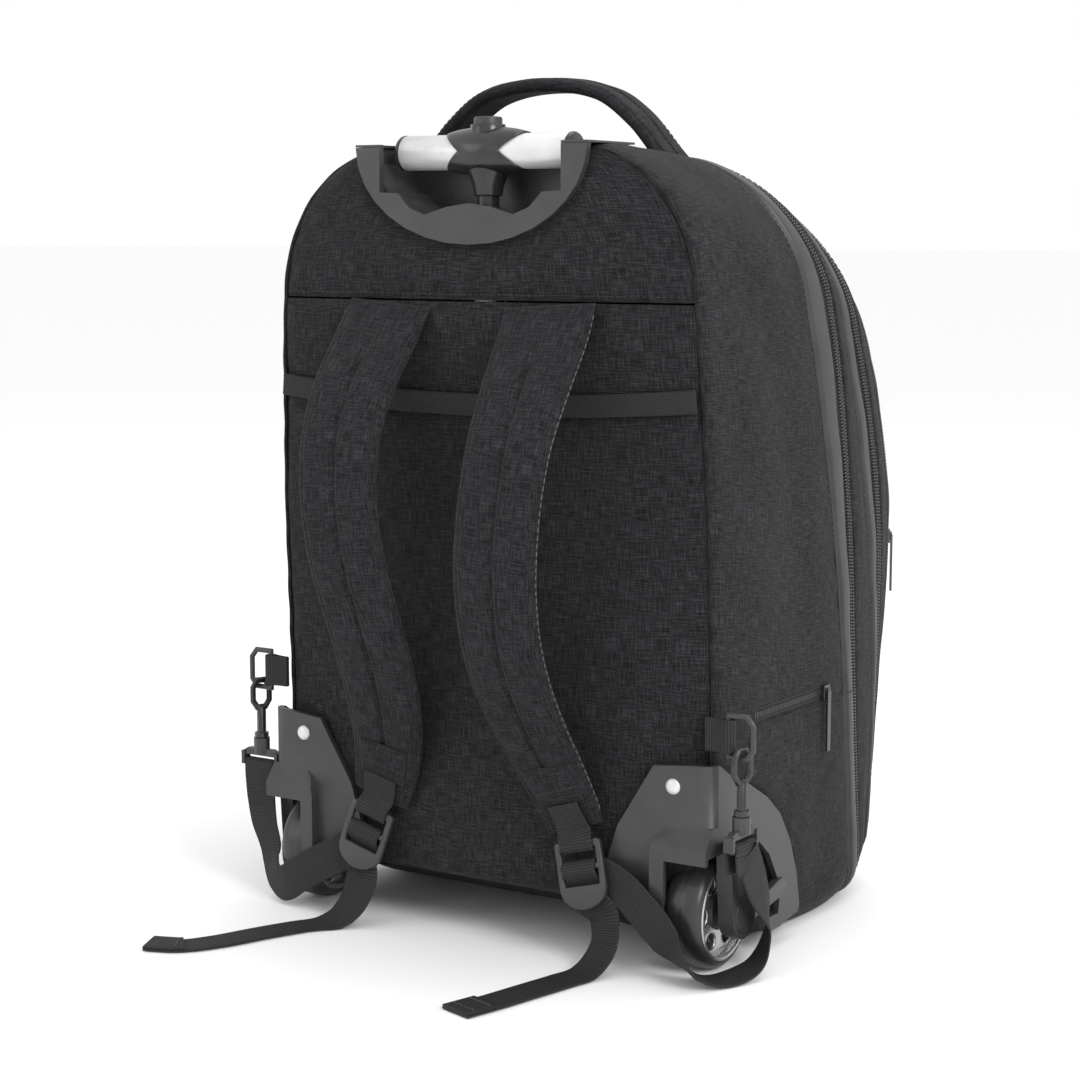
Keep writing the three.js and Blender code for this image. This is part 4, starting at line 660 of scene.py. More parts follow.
def repeat_unit(name, places, unit, material, slot="melange_fabric", shift=(0, 0, 0)):
    """One mesh of the unit at each place: across, along and out of the path, moved by the shift."""
    at, tangent, normal = places
    points, faces = unit
    across = np.cross(tangent, normal)
    local = points + np.array(shift, float)
    grid = (at[:, None] + across[:, None] * local[None, :, :1] + tangent[:, None] * local[None, :, 1:2]
            + normal[:, None] * local[None, :, 2:])
    count = len(points)
    all_faces = []
    for face in faces:
        turned = np.array(face[::-1])[None] + count * np.arange(len(at))[:, None]
        all_faces.append(turned)
    flat = [row for block in all_faces for row in block.tolist()]
    piece = new_object(name, grid.reshape(-1, 3), flat, None, material)
    piece.data.shade_flat()
    return settle(piece, "bag", slot)


SEAM_PITCH, STITCH_CLEARANCE = 4.4, 2.5


def seam_stitches(name, q, lift):
    """A row of stitches along a seam number of the body."""
    points, normals = body_surface([q])
    rows = even_path(points[0], normals[0], SEAM_PITCH)
    kept = outside_wheel_room(rows[0]) & (rows[0][:, 2] > STITCH_CLEARANCE)
    rows = tuple(r[kept] for r in rows)
    return repeat_unit(name, rows, stitch_unit(3.2, 0.34), dark_thread, shift=(0, 0, lift))


def round_zip(name, q0, q1, node, strip_share):
    """Tape with a raised coated strip: height = a flat-topped bump over the strip's share."""
    q = np.linspace(q0 + 0.004, q1 - 0.004, 34)
    points, normals = body_surface(q)
    t = np.linspace(0, 1, len(q))[:, None]
    strip = ease(t, 0.03, 0.10) * (1 - ease(t, strip_share - 0.06, strip_share))
    lift = -0.9 + 2.0 * strip + 0.5 * strip * np.cos((t / strip_share - 0.5) * np.pi)
    wave = ripples(t * 20, lengths_along(points, 1), 21, 6, 60) * 0.3
    shaped = points + normals * (lift + wave * strip)[..., None]
    shaped[..., 2] = np.maximum(shaped[..., 2], 0.5)
    piece = grid_piece(name, shaped, coated_strip, loop_cols=True, centre=BODY_CENTRE)
    wall(piece, ZIP_WALL)
    settle(piece, "bag", "zip_tape", node)
    middle = q0 + (q1 - q0) * (strip_share + 0.97) / 2
    line, out = body_surface([middle])
    places = even_path(line[0], out[0], 2.3)
    places = tuple(p[places[0][:, 2] > 3] for p in places)
    for side, label in ((-1, "a"), (1, "b")):
        repeat_unit(f"{name}_teeth_{label}", places, tooth_unit(3.6, 1.5, 1.7), coil_plastic, slot="zip_tape",
                    shift=(side * 2.05, side * 0.55, -0.7))
    return piece


round_zip("main_zip_strip", MAIN_A, MAIN_B, "main_zip", 0.62)
round_zip("front_zip_strip", FRONT_A, FRONT_B, "front_zip", 0.5)
round_zip("pocket_zip_strip", POCKET_A, POCKET_B, "pocket_zip", 0.5)
for label, q in (("gusset", 2.93), ("front_room_rear", 4.07), ("front_room_front", 4.9),
                 ("pocket_rear", 6.08), ("pocket_front", 6.93), ("front_face", 8.12)):
    seam_stitches(f"stitches_{label}", q, lift=0.9)

# %% [markdown]
# ## The padded back
# The back is foam under melange cloth, sewn at a corded seam all round and crossed by one seam
# near the top. It is soft: its edge rolls into the seam. After the shape is computed, Blender's
# own cloth solver inflates it a little with its border held, which makes the small uneven swell.

# %% Back panels
BACK_CROWN, LOW_FULLNESS, FULL_HEIGHT, BASE_Z = 12.5, 0.7, 160, 38
CUP_HALF_WIDTH, CUP_DROP, CUP_FRONT_Y = 88.5, 62.5, SEAM_Y - 12.5
CUP_LOW = BAG_HEIGHT - CUP_DROP


def back_face(x, z):
    """Depth of the back: the seam's depth less a crown that falls off as a power of the share."""
    half = side_at(BAG_WIDTH / 2, BAG_HEIGHT, z)
    rise = (1 - LOW_FULLNESS) * np.maximum(z - BASE_Z, 0) / (FULL_HEIGHT - BASE_Z)
    full = np.minimum(1, LOW_FULLNESS + rise)
    share = np.minimum(np.abs(x) / half, 1)
    return seam_depth(SEAMS[0], z) + 0.4 - BACK_CROWN * full * (1 - share ** 2.1)


def swollen(piece, held, pressure=3.0, cap=4.0, frames=16):
    """Inflate a sheet with Blender's cloth solver, its border held; a point moves at most the cap."""
    mesh = piece.data
    before = np.empty(len(mesh.vertices) * 3, np.float32)
    mesh.vertices.foreach_get("co", before)
    group = piece.vertex_groups.new(name="held")
    group.add(np.flatnonzero(held).tolist(), 1.0, "REPLACE")
    solver = piece.modifiers.new("cloth", "CLOTH")
    solver.settings.quality = 6
    solver.settings.mass = 0.3
    solver.settings.vertex_group_mass = "held"
    solver.settings.use_pressure = True
    solver.settings.uniform_pressure_force = pressure
    solver.settings.effector_weights.gravity = 0
    solver.settings.tension_stiffness = 12
    solver.settings.bending_stiffness = 1.5
    solver.collision_settings.use_collision = False
    scene = bpy.context.scene
    for number in range(1, frames + 1):
        scene.frame_set(number)
    graph = bpy.context.evaluated_depsgraph_get()
    after = np.empty_like(before)
    piece.evaluated_get(graph).to_mesh().vertices.foreach_get("co", after)
    piece.modifiers.remove(solver)
    piece.vertex_groups.clear()
    scene.frame_set(1)
    move = (after - before).reshape(-1, 3)
    size = np.linalg.norm(move, axis=-1, keepdims=True)
    limit = cap / 1000
    move = move * (limit * np.tanh(size / limit) / np.maximum(size, 1e-9))
    mesh.vertices.foreach_set("co", (before.reshape(-1, 3) + move).ravel())
    mesh.update()
    print(piece.name, "swelled by up to", round(float(np.linalg.norm(move, axis=-1).max()) * 1000, 2), "mm")
    return piece


def outside_cup(points):
    """True outside the half-moon that the cup's well takes up behind its flange."""
    return np.hypot(points[:, 0] / 81.5, (BAG_HEIGHT - points[:, 2]) / 57.0) > 1


def band_height(share):
    """Height of the twill band: level at its ends, with a parabolic sag between them."""
    return 364 - 7 * (1 - share ** 2)


def back_pad(name, z0, z1, rows, cols, node, seed):
    """Closed pad: a front that rolls into its border and a plain rear, as one loop of columns."""
    u = np.sin(np.linspace(-1, 1, cols) * np.pi / 2) * 0.35 + np.linspace(-1, 1, cols) * 0.65
    z = np.linspace(z0, z1, rows)[:, None]
    half = side_at(BAG_WIDTH / 2, BAG_HEIGHT, z) - 2.4
    x = half * u[None]
    z = np.broadcast_to(z, x.shape)
    edge = np.minimum(half - np.abs(x), np.minimum(z - z0, z1 - z) + 1.0)
    y = back_face(x, z)
    y = y + 4.2 * np.exp(-(edge / 7.0)) - 1.6
    y = y + ripples(x, z, seed, 9, 110) * 0.8
    y = y + ripples(x / 1.6, z, seed + 2, 6, 34) * 0.3 * np.exp(-edge / 30)
    cup = 1 - np.hypot(x / (CUP_HALF_WIDTH + 4), (BAG_HEIGHT - z) / (CUP_DROP + 4))
    y = np.where(cup > -0.14, np.maximum(y, CUP_FRONT_Y + 1.2 + 4.2 * ease(cup, -0.14, 0.04)), y)
    over_housing = ease(np.abs(x), 70, 84) * (1 - ease(z, 136, 146))
    y = y + (np.maximum(y, -103.2) - y) * over_housing
    under_band = np.exp(-((z - band_height(x / half)) / 12) ** 2)
    y = y + 1.8 * under_band
    front = np.stack([x, y, z], -1)
    rear = np.stack([x[:, ::-1] * 0.985, np.minimum(y + 9, -92.5)[:, ::-1], z[:, ::-1]], -1)
    grid = np.concatenate([front, rear], 1)
    piece = grid_piece(name, grid, melange, loop_cols=True, caps=z1 < CUP_LOW, keep=outside_cup,
                       centre=(0, -98, (z0 + z1) / 2))
    held = np.zeros(grid.shape[:2], bool)
    held[:, cols:] = True
    held[:2] = held[-2:] = True
    held[:, :3] = held[:, cols - 3:] = True
    firm = (cup > -0.2) | (over_housing > 0.3) | (under_band > 0.3)
    held |= np.concatenate([firm, np.ones_like(x, bool)], 1)
    swollen(piece, held.ravel())
    settle(piece, "bag", "melange_fabric", node)
    return piece


back_pad("back_pad", 41.0, SIDE_TOP - 0.6, 110, 96, "back_panel", 31)
back_pad("upper_back_pad", SIDE_TOP + 0.6, BAG_HEIGHT - 3, 44, 96, "upper_back_panel", 33)


def back_line(z_of, lift, count=220, spread=0.985):
    """Path across the back at heights z_of(x), lifted towards the harness."""
    half = side_at(BAG_WIDTH / 2, BAG_HEIGHT, z_of(0.0)) - 4
    x = np.linspace(-half * spread, half * spread, count)
    z = z_of(x) + 0 * x
    return np.stack([x, back_face(x, z) - lift, z], -1), np.tile((0.0, -1.0, 0.0), (count, 1))


line, out = back_line(lambda x: SIDE_TOP + 4.2, 1.2)
repeat_unit("stitches_upper_back", even_path(line, out, 4.4, False), stitch_unit(3.2, 0.36), dark_thread)
print("back done")

# %% [markdown]
# ## Bands that follow a path
# Shoulder straps, webbing and the carry handle are one cross-section carried along a path. At each
# place there is a tangent, a direction across the band and a normal, and the cross-section is laid
# out in the last two. A curve object with a bevel could do this, but it twists where the path turns.

# %% A cross-section carried along a path


def frames_along(places, across, reach):
    """Smooth path through places: points every reach mm, the direction across the band made square
    to the tangent, and the normal = across x tangent."""
    places, across = np.asarray(places, float), np.asarray(across, float)
    travel = np.insert(np.cumsum(np.linalg.norm(np.diff(places, axis=0), axis=-1)), 0, 0)
    s = np.linspace(0, travel[-1], max(int(travel[-1] / reach), 4))
    at = hermite(travel, places.T, np.broadcast_to(s, (3, len(s)))).T
    side = np.stack([np.interp(s, travel, across[:, k]) for k in range(3)], -1)
    tangent = np.gradient(at, axis=0)
    tangent /= np.linalg.norm(tangent, axis=-1, keepdims=True)
    side -= tangent * (side * tangent).sum(-1, keepdims=True)
    side /= np.linalg.norm(side, axis=-1, keepdims=True)
    return at, side, np.cross(side, tangent), tangent, s / travel[-1], travel


def carried(frames, u, v):
    """Grid = place + across * u + normal * v, for sections (rows, columns) or one section."""
    at, side, normal = frames[:3]
    u = np.broadcast_to(u, (len(at), np.shape(u)[-1]))
    v = np.broadcast_to(v, (len(at), np.shape(v)[-1]))
    return at[:, None] + side[:, None] * u[..., None] + normal[:, None] * v[..., None]


def flat_section(half_width, half_thick, count=12):
    """Closed flat section: a super-ellipse with straight faces and round edges."""
    a = 2 * np.pi * (np.arange(4 * count) + 0.5) / (4 * count)
    u = half_width * np.sign(np.cos(a)) * np.abs(np.cos(a)) ** 0.22
    v = half_thick * np.sign(np.sin(a)) * np.abs(np.sin(a)) ** 0.5
    return u, v


def sided(points, side):
    """The same places for the bag's right (+1) or mirrored for its left (-1)."""
    return np.asarray(points, float) * (side, 1, 1)


SIDES = {"right": 1, "left": -1}
WEB_WIDTH, WEB_THICKNESS, FLOOR_CLEARANCE = 25, 1.6, 0.2


def web_band(name, places, across, width=WEB_WIDTH, material=None, thickness=WEB_THICKNESS, reach=2.5):
    """Webbing: a thin section with a slight rib at each selvedge."""
    frames = frames_along(places, across, reach)
    u, v = flat_section(width / 2, thickness / 2)
    selvedge = 1 + 0.22 * np.exp(-((np.abs(u) - width / 2 + 1.3) / 0.7) ** 2)
    grid = carried(frames, u, v * selvedge)
    grid[..., 2] = np.maximum(grid[..., 2], FLOOR_CLEARANCE)
    return grid_piece(name, grid, material or webbing, loop_cols=True, caps=True), frames


# %% [markdown]
# ## Shoulder straps
# A strap is a long foam pad in melange cloth, with a stitched channel down its middle and a folded
# edge all round. Its webbing end is sewn on under a stitched patch. The cross-section below has
# all of that: a crowned face, a groove in the middle and a fine groove beside each edge.

# %% Strap pads
LOCK_X, LOCK_Y, LOCK_Z, STRAP_FOOT = 86.6, SEAM_Y - 13, 60, 88
STRAP_WIDTH, STRAP_THICKNESS, STRAP_BOW = 60, 13, 77
STRAP = np.array([  # rise, place across, way out, width and thickness
    [0.994, 0.710, 0.174, 1.09, 0.2], [0.931, 0.733, 0.3896, 1.09, 0.75], [0.842, 0.751, 0.6883, 1.05, 1],
    [0.752, 0.745, 0.8961, 1.0, 1], [0.663, 0.722, 0.987, 0.98, 1], [0.573, 0.687, 1, 0.98, 1],
    [0.484, 0.647, 0.9481, 0.98, 1], [0.394, 0.612, 0.8312, 0.98, 1], [0.304, 0.606, 0.6753, 0.98, 1],
    [0.215, 0.647, 0.4935, 0.95, 1], [0.125, 0.733, 0.2987, 0.88, 0.9], [0.048, 0.831, 0.1558, 0.8, 0.55],
    [0.0, 0.895, 0.0974, 0.72, 0.3]])
strap_places = np.stack([STRAP[:, 1] * LOCK_X,
                         SEAM_Y - STRAP[:, 2] * STRAP_BOW + STRAP_THICKNESS * STRAP[:, 4] / 2,
                         STRAP_FOOT + STRAP[:, 0] * (SIDE_TOP - STRAP_FOOT)], -1)


def strap_face(share, thick, channel):
    """Half thickness over the width: a round-shouldered crown, a middle groove and edge grooves."""
    edge = np.abs(share)
    crown = thick * (1 - edge ** 5) ** 0.55
    groove = channel * np.exp(-((share) / 0.07) ** 2) + 0.8 * np.exp(-((edge - 0.86) / 0.03) ** 2)
    return np.maximum(crown - groove * np.minimum(1, thick / 5), 0.35 * thick * (edge < 0.999))


def shoulder_strap(name, side):
    """Pad: the strap's section, scaled in width and thickness, carried along its path."""
    frames = frames_along(sided(strap_places, side), np.tile((1.0, 0.02, 0.0), (len(STRAP), 1)), 2.6)
    share, travel = frames[4], frames[5]
    wide = hermite(travel / travel[-1], STRAP[:, 3], share)[:, None] * STRAP_WIDTH / 2
    thick = hermite(travel / travel[-1], STRAP[:, 4], share)[:, None] * STRAP_THICKNESS / 2
    w = np.sin(np.linspace(-1, 1, 64) * np.pi / 2)
    w = 0.6 * w + 0.4 * np.linspace(-1, 1, 64)
    end = ease(share, 0.0, 0.03)[:, None] * (1 - 0.25 * ease(share, 0.97, 1.0)[:, None])
    channel = 2.2 * ease(share, 0.06, 0.14)[:, None] * (1 - ease(share, 0.86, 0.93)[:, None])
    face = strap_face(w[None], thick, channel)
    length = share[:, None] * travel[-1]
    wrinkle = (ripples(length, w[None] * 14, 41 + side, 7, 46) * 0.35
               + ripples(length, w[None] * 6, 51, 5, 17) * 0.16)
    face = (face + wrinkle * (1 - np.abs(w[None]) ** 4)) * (0.5 + 0.5 * end)
    front, rear = -face, np.abs(face) * 0.8
    u = np.concatenate([wide * w, wide * w[::-1]], 1)
    v = np.concatenate([front, rear[:, ::-1]], 1)
    grid = carried(frames, u, v)
    piece = grid_piece(f"strap_pad_{name}", grid, strap_cloth, loop_cols=True, caps=True)
    settle(piece, "bag", "melange_fabric", f"shoulder_strap_{name}")
    at, across, normal = frames[:3]
    for label, place in (("inner", -0.88), ("outer", 0.88), ("channel_a", -0.11), ("channel_b", 0.11)):
        depth = strap_face(np.full_like(wide, place), thick, channel)
        line = at + across * (wide * place) - normal * (depth + 0.1)
        kept = slice(int(0.06 * len(at)), int(0.9 * len(at))) if "channel" in label else slice(4, -4)
        places = even_path(line[kept], -normal[kept], 4.2, False)
        repeat_unit(f"strap_stitches_{name}_{label}", places, stitch_unit(3.0, 0.32), dark_thread)
    edge = at + across * (wide * 1.005 * side) - normal * 0.2
    places = even_path(edge[3:-3], (across * side)[3:-3], 5.0, False)
    repeat_unit(f"strap_binding_stitches_{name}", places, stitch_unit(3.4, 0.4), thread)
    return frames, wide, thick


strap_frames = {}
for name, side in SIDES.items():
    strap_frames[name] = shoulder_strap(name, side)
print("straps done")

# %% [markdown]
# ## Flat moulded parts
# Buckles, plates and tabs are flat shapes of one thickness with rounded edges. A Blender curve
# fills an outline with holes, gives it depth and bevels its edge, so each of them starts as a
# curve, is made a mesh and is then placed by a turn and a move worked out in numpy.

# %% Plates cut from an outline


def rounded(corners, radius, steps=5):
    """Outline with each corner replaced by a quadratic arc that starts radius mm before it."""
    corners = np.asarray(corners, float)
    before, after = np.roll(corners, 1, 0), np.roll(corners, -1, 0)
    a, b = before - corners, after - corners
    la, lb = (np.linalg.norm(d, axis=-1, keepdims=True) for d in (a, b))
    cut = np.minimum(radius, 0.48 * np.minimum(la, lb))
    start, end = corners + a / la * cut, corners + b / lb * cut
    t = np.linspace(0, 1, steps)[None, :, None]
    arc = (1 - t) ** 2 * start[:, None] + 2 * t * (1 - t) * corners[:, None] + t ** 2 * end[:, None]
    return arc.reshape(-1, 2)


def circle(x, y, radius, count=24):
    """Outline: centre + radius * (cos, sin) of evenly spaced angles."""
    a = 2 * np.pi * np.arange(count) / count
    return np.stack([x + radius * np.cos(a), y + radius * np.sin(a)], -1)


def box_outline(x0, x1, y0, y1, radius=1.0):
    """Outline of a rectangle with rounded corners."""
    return rounded([[x0, y0], [x1, y0], [x1, y1], [x0, y1]], radius)


def plate(name, outlines_2d, depth, bevel, axes, origin, material):
    """Filled outlines pushed out by depth mm with a round bevel. Axes are the directions of the
    outline's two coordinates; the plate's middle lies at the origin."""
    curve = bpy.data.curves.new(name, "CURVE")
    curve.dimensions = "2D"
    curve.fill_mode = "BOTH"
    curve.extrude = max(depth / 2 - bevel, 0.01)
    curve.bevel_depth = bevel
    curve.bevel_resolution = 2
    curve.offset = -bevel
    for outline in outlines_2d:
        spline = curve.splines.new("POLY")
        spline.points.add(len(outline) - 1)
        flat = np.zeros((len(outline), 4))
        flat[:, :2] = outline
        flat[:, 3] = 1
        spline.points.foreach_set("co", flat.ravel())
        spline.use_cyclic_u = True
    holder = bpy.data.objects.new(name, curve)
    bpy.context.collection.objects.link(holder)
    made = bpy.data.meshes.new_from_object(holder.evaluated_get(bpy.context.evaluated_depsgraph_get()))
    bpy.data.objects.remove(holder)
    bpy.data.curves.remove(curve)
    flat = np.empty(len(made.vertices) * 3, np.float32)
    made.vertices.foreach_get("co", flat)
    flat = flat.reshape(-1, 3).astype(float)
    a, b = (np.array(axis, float) for axis in axes)
    out = np.cross(a, b)
    points = np.array(origin, float) + flat[:, :1] * a + flat[:, 1:2] * b + flat[:, 2:] * out
    faces = [list(face.vertices) for face in made.polygons]
    bpy.data.meshes.remove(made)
    piece = new_object(name, points, faces, None, material)
    merge_close(piece)
    piece.data.set_sharp_from_angle(angle=np.radians(50))
    return piece


MERGE_REACH = 0.00002


def merge_close(piece):
    """Merge points closer than the reach, in metres, and turn the faces outwards."""
    shape = bmesh.new()
    shape.from_mesh(piece.data)
    bmesh.ops.remove_doubles(shape, verts=shape.verts, dist=MERGE_REACH)
    bmesh.ops.recalc_face_normals(shape, faces=shape.faces)
    shape.to_mesh(piece.data)
    shape.free()


def rod_piece(name, centre_line, radius, material, sides=14):
    """Round rod: circle carried along a line; the direction across = straight up x the tangent."""
    line = np.asarray(centre_line, float)
    tangent = np.gradient(line, axis=0)
    tangent /= np.linalg.norm(tangent, axis=-1, keepdims=True)
    side = np.cross(np.broadcast_to(np.array((0.0, 0.0, 1.0)), tangent.shape), tangent)
    side /= np.maximum(np.linalg.norm(side, axis=-1, keepdims=True), 1e-6)
    normal = np.cross(tangent, side)
    a = 2 * np.pi * np.arange(sides) / sides
    size = np.broadcast_to(radius, (len(line),))[:, None, None]
    grid = line[:, None] + size * (side[:, None] * np.cos(a)[None, :, None]
                                   + normal[:, None] * np.sin(a)[None, :, None])
    return grid_piece(name, grid, material, loop_cols=True, caps=True)


def lathe_piece(name, profile, centre, axis, material, steps=64, looped=False):
    """Profile of (distance from the axis, place on it) turned round an axis through the centre."""
    a = 2 * np.pi * np.arange(steps) / steps
    profile = np.asarray(profile, float)
    axis = np.array(axis, float)
    first = np.array((0.0, 1.0, 0.0)) if abs(axis[1]) < 0.5 else np.array((1.0, 0.0, 0.0))
    second = np.cross(axis, first)
    round_way = np.cos(a)[:, None] * first + np.sin(a)[:, None] * second
    grid = (np.array(centre, float) + profile[:, None, :1] * round_way[None]
            + profile[:, None, 1:] * axis)
    piece = grid_piece(name, grid, material, loop_cols=True, loop_rows=looped)
    merge_close(piece)
    piece.data.set_sharp_from_angle(angle=np.radians(45))
    return piece


# %% [markdown]
# ## Ladder locks and the webbing through them
# A ladder lock holds a strap by friction: the webbing goes up behind it, over a bar and out behind
# its lower lip. The lock is one plate with two windows and a round bar, tilted as it hangs.

# %% Ladder locks
LOCK_TILT_X, LOCK_TILT_Y = -0.16, 0.27


def turned(points, x_angle, y_angle):
    """Turn about X by one angle, then about Y by minus the other."""
    cx, sx, cy, sy = np.cos(x_angle), np.sin(x_angle), np.cos(-y_angle), np.sin(-y_angle)
    about_x = np.array([[1, 0, 0], [0, cx, -sx], [0, sx, cx]])
    about_y = np.array([[cy, 0, sy], [0, 1, 0], [-sy, 0, cy]])
    return np.asarray(points, float) @ (about_y @ about_x).T


def lock_points(pairs):
    """Places from (depth, height) pairs in the lock's own frame, on the +X side."""
    pairs = np.asarray(pairs, float)
    return turned(np.insert(pairs, 0, 0, axis=1), LOCK_TILT_X, LOCK_TILT_Y) + (LOCK_X, LOCK_Y, LOCK_Z)


def ladder_lock(name, side):
    """Plate with a half-ellipse foot and two windows, and a round bar across it."""
    w, l, lip = 17.5, 22, 22 * 0.36
    lower = np.linspace(np.pi, 2 * np.pi, 22)
    foot = np.stack([w * np.cos(lower), -lip + (l - lip) * np.sin(lower)], -1)
    outline = np.concatenate([[[w - 1.5, l], [-w + 1.5, l], [-w, l - 1.5]], foot, [[w, l - 1.5]]])
    windows = [box_outline(-w + 4, w - 4, -lip + 1.2, 3.2, 1.2), box_outline(-w + 4, w - 4, 7.2, l - 5, 1.2)]
    axes = turned(np.array([[1, 0, 0], [0, 0, 1]]), LOCK_TILT_X, LOCK_TILT_Y)
    piece = plate(f"ladder_lock_body_{name}", [outline, *windows], 3.8, 0.9, sided(axes, side),
                  sided((LOCK_X, LOCK_Y, LOCK_Z), side), hardware_plastic)
    settle(piece, "bag", "moulded_plastic", f"ladder_lock_{name}")
    bar = np.insert(np.linspace(-15, 15, 8)[:, None], 1, 0, axis=1)
    bar = turned(np.insert(bar, 2, 5.0, axis=1), LOCK_TILT_X, LOCK_TILT_Y) + (LOCK_X, LOCK_Y, LOCK_Z)
    rod = rod_piece(f"ladder_lock_bar_{name}", sided(bar, side), 2.3, hardware_plastic)
    settle(rod, "bag", "moulded_plastic")


lock_across = turned([-1, 0, 0], LOCK_TILT_X, LOCK_TILT_Y)
TOP_FOLD = [[-2.8, 22], [-2.8, 18], [-2.3, 16], [0, 15.1], [2.3, 16], [2.8, 18], [2.8, 23]]


def strap_end(name, side):
    """Webbing sewn to the strap's end and folded round the lock's top bar, under a stitched patch."""
    sewn = strap_places[-2:].copy()
    sewn[:, 1] -= STRAP_THICKNESS * STRAP[-2:, 4] / 2 + WEB_THICKNESS / 2 + 1.3
    places = np.concatenate([sewn, lock_points(TOP_FOLD)])
    across = np.concatenate([np.tile((-1.0, 0, 0), (2, 1)), np.tile(lock_across, (len(TOP_FOLD), 1))])
    piece, frames = web_band(f"strap_web_band_{name}", sided(places, side), sided(across, side), reach=1.5)
    settle(piece, "bag", "webbing", f"strap_web_{name}")
    frames, wide, thick = strap_frames[name]
    at, across, normal = frames[:3]
    rows = np.flatnonzero((frames[4] > 0.865) & (frames[4] < 0.955))
    w = np.linspace(-1, 1, 30)
    u = np.minimum(wide[rows] * 0.72, 19) * w
    depth = strap_face(u / wide[rows], thick[rows], 0.0) + 0.9 * (1 - np.abs(w[None]) ** 8) + 0.2
    patch_frames = (at[rows], across[rows], normal[rows])
    patch = grid_piece(f"strap_patch_{name}", carried(patch_frames, u, -depth), strap_cloth, away=(0, -1, 0))
    settle(wall(patch, 1.0), "bag", "melange_fabric")
    grid = carried(patch_frames, u * 0.9, -depth - 0.15)
    border = np.concatenate([grid[2, :], grid[2:-2, -1], grid[-3, ::-1], grid[-3:1:-1, 0]])
    places = even_path(border, np.tile((0.0, -1.0, 0.0), (len(border), 1)), 3.6, True)
    repeat_unit(f"strap_patch_stitches_{name}", places, stitch_unit(2.6, 0.34), dark_thread)
    slit = grid[int(len(rows) * 0.62)]
    places = even_path(slit, np.tile((0.0, -1.0, 0.0), (len(slit), 1)), 2.0, False)
    repeat_unit(f"strap_patch_slit_{name}", places, stitch_unit(2.1, 0.5), dark_thread)


for name, side in SIDES.items():
    ladder_lock(name, side)
    strap_end(name, side)
print("ladder locks done")

# %% [markdown]
# ## Adjusting webbing
# From each hook a length of webbing goes down, turns under and up behind the ladder lock, and its
# free end hangs from the lock and lies on the floor. Webbing keeps its width and bends one way
# only, so each place of its path says which way the width points.

# %% Webbing paths
HOOK_X, LOOP_Y, FRAME_DROP = 190.5, SEAM_Y + 6, 67
LOOP_Z = {"right": 158, "left": 163}
HOOK_TURN = {"right": np.radians(88), "left": 0.0}
BAR_PASS = [[5, -5], [5, 0], [4.5, 4.4], [2.8, 7.7], [0, 8.9], [-2.8, 7.6], [-3.9, 4.2], [-3.1, 0.4],
            [-0.4, -2.6], [2.3, -5.2], [3.2, -9], [3.1, -15]]
FRAME_FOLD = np.array([[3.5, -18], [3.5, -8], [3.5, -3], [3.3, 0.3], [1.9, 1.4], [0, 1.5], [-1.9, 1.4],
                       [-3.3, 0.3], [-3.5, -3], [-3.5, -8]])
# Way outwards, depth behind the seam, height and the direction across the webbing
TAILS = {
    "right": [[14.4, -11.6, 37, -1, 0.1, -0.25], [17.4, -13, 27, -0.95, 0.25, -0.1],
              [17.9, -16, 17, -0.94, 0.34, 0], [15.4, -22, 8, -0.94, 0.34, 0],
              [11.9, -31, 2, -0.94, 0.34, 0], [7.4, -46, 1.2, -0.95, 0.3, 0],
              [0.4, -74, 1.2, -0.97, 0.25, 0], [-7.6, -106, 1.2, -0.96, 0.28, 0],
              [-15.6, -133, 1.2, -0.95, 0.3, 0]],
    "left": [[2.4, -12.6, 35, -1, 0, -0.15], [3.4, -15.5, 24, -1, -0.05, -0.1],
             [6.4, -20, 14, -1, -0.15, -0.1], [12.4, -26, 6, -1, -0.3, -0.1],
             [21.4, -34, 1.8, -1, -0.45, 0], [30.4, -46, 1.2, -1, -0.5, 0], [42.4, -71, 1.2, -1, -0.5, 0],
             [55.4, -102, 1.2, -1, -0.6, 0], [69.4, -122, 1.2, -0.6, -0.8, 0],
             [89.4, -131, 1.2, -0.3, -0.9, 0]]}
LOWER = {
    "right": [[1.024, 13, 78, 0.05, 0.95, 0.4], [1.005, 28, 59, 0, 0.9, 0.5],
              [0.9952, 41, 43, -0.25, 0.9, 0.3], [0.9952, 45, 30, -0.5, 0.86, 0.1],
              [0.9904, 40, 17, -0.6, 0.8, 0], [0.9711, 30, 7, -0.7, 0.7, 0],
              [0.9182, 15, 2, -0.87, 0.48, 0], [0.8412, -1, 2.2, -0.85, 0.55, 0],
              [0.7642, -12.5, 9, -0.6, 0.8, -0.1], [0.6872, -16.5, 18.5, -0.6, 0.6, -0.4],
              [0.6102, -16.6, 28, -0.65, 0.15, -0.72], [0.5332, -16, 36, -0.64, 0, -0.77],
              [0.4273, -15, 45.5, -0.6, 0, -0.8], [0.3022, -12.5, 54, -0.5, 0, -0.87],
              [0.1675, -9.5, 59, -0.35, 0, -0.93], [0.0423, -7.6, 61, -0.2, 0, -0.98]],
    "left": [[0.9856, 2.4, 72, -1, 0, 0.05], [0.9663, 3, 54, -1, -0.1, 0.08],
             [0.9134, 2.8, 38, -0.96, -0.25, 0.15], [0.8893, 0.5, 28, -0.85, -0.4, 0.35],
             [0.8316, -4, 19.5, -0.6, -0.3, 0.75], [0.7449, -8, 15.5, -0.1, -0.1, 1],
             [0.6583, -11.7, 18, 0.35, 0, 0.93], [0.5621, -14, 24.5, 0.5, 0, 0.87],
             [0.4177, -15, 33.5, 0.5, 0, 0.87], [0.2541, -12.5, 43, 0.5, 0, 0.87],
             [0.1097, -9.5, 51.5, 0.5, 0, 0.87], [0.0038, -7.8, 57, 0.5, 0, 0.87]]}


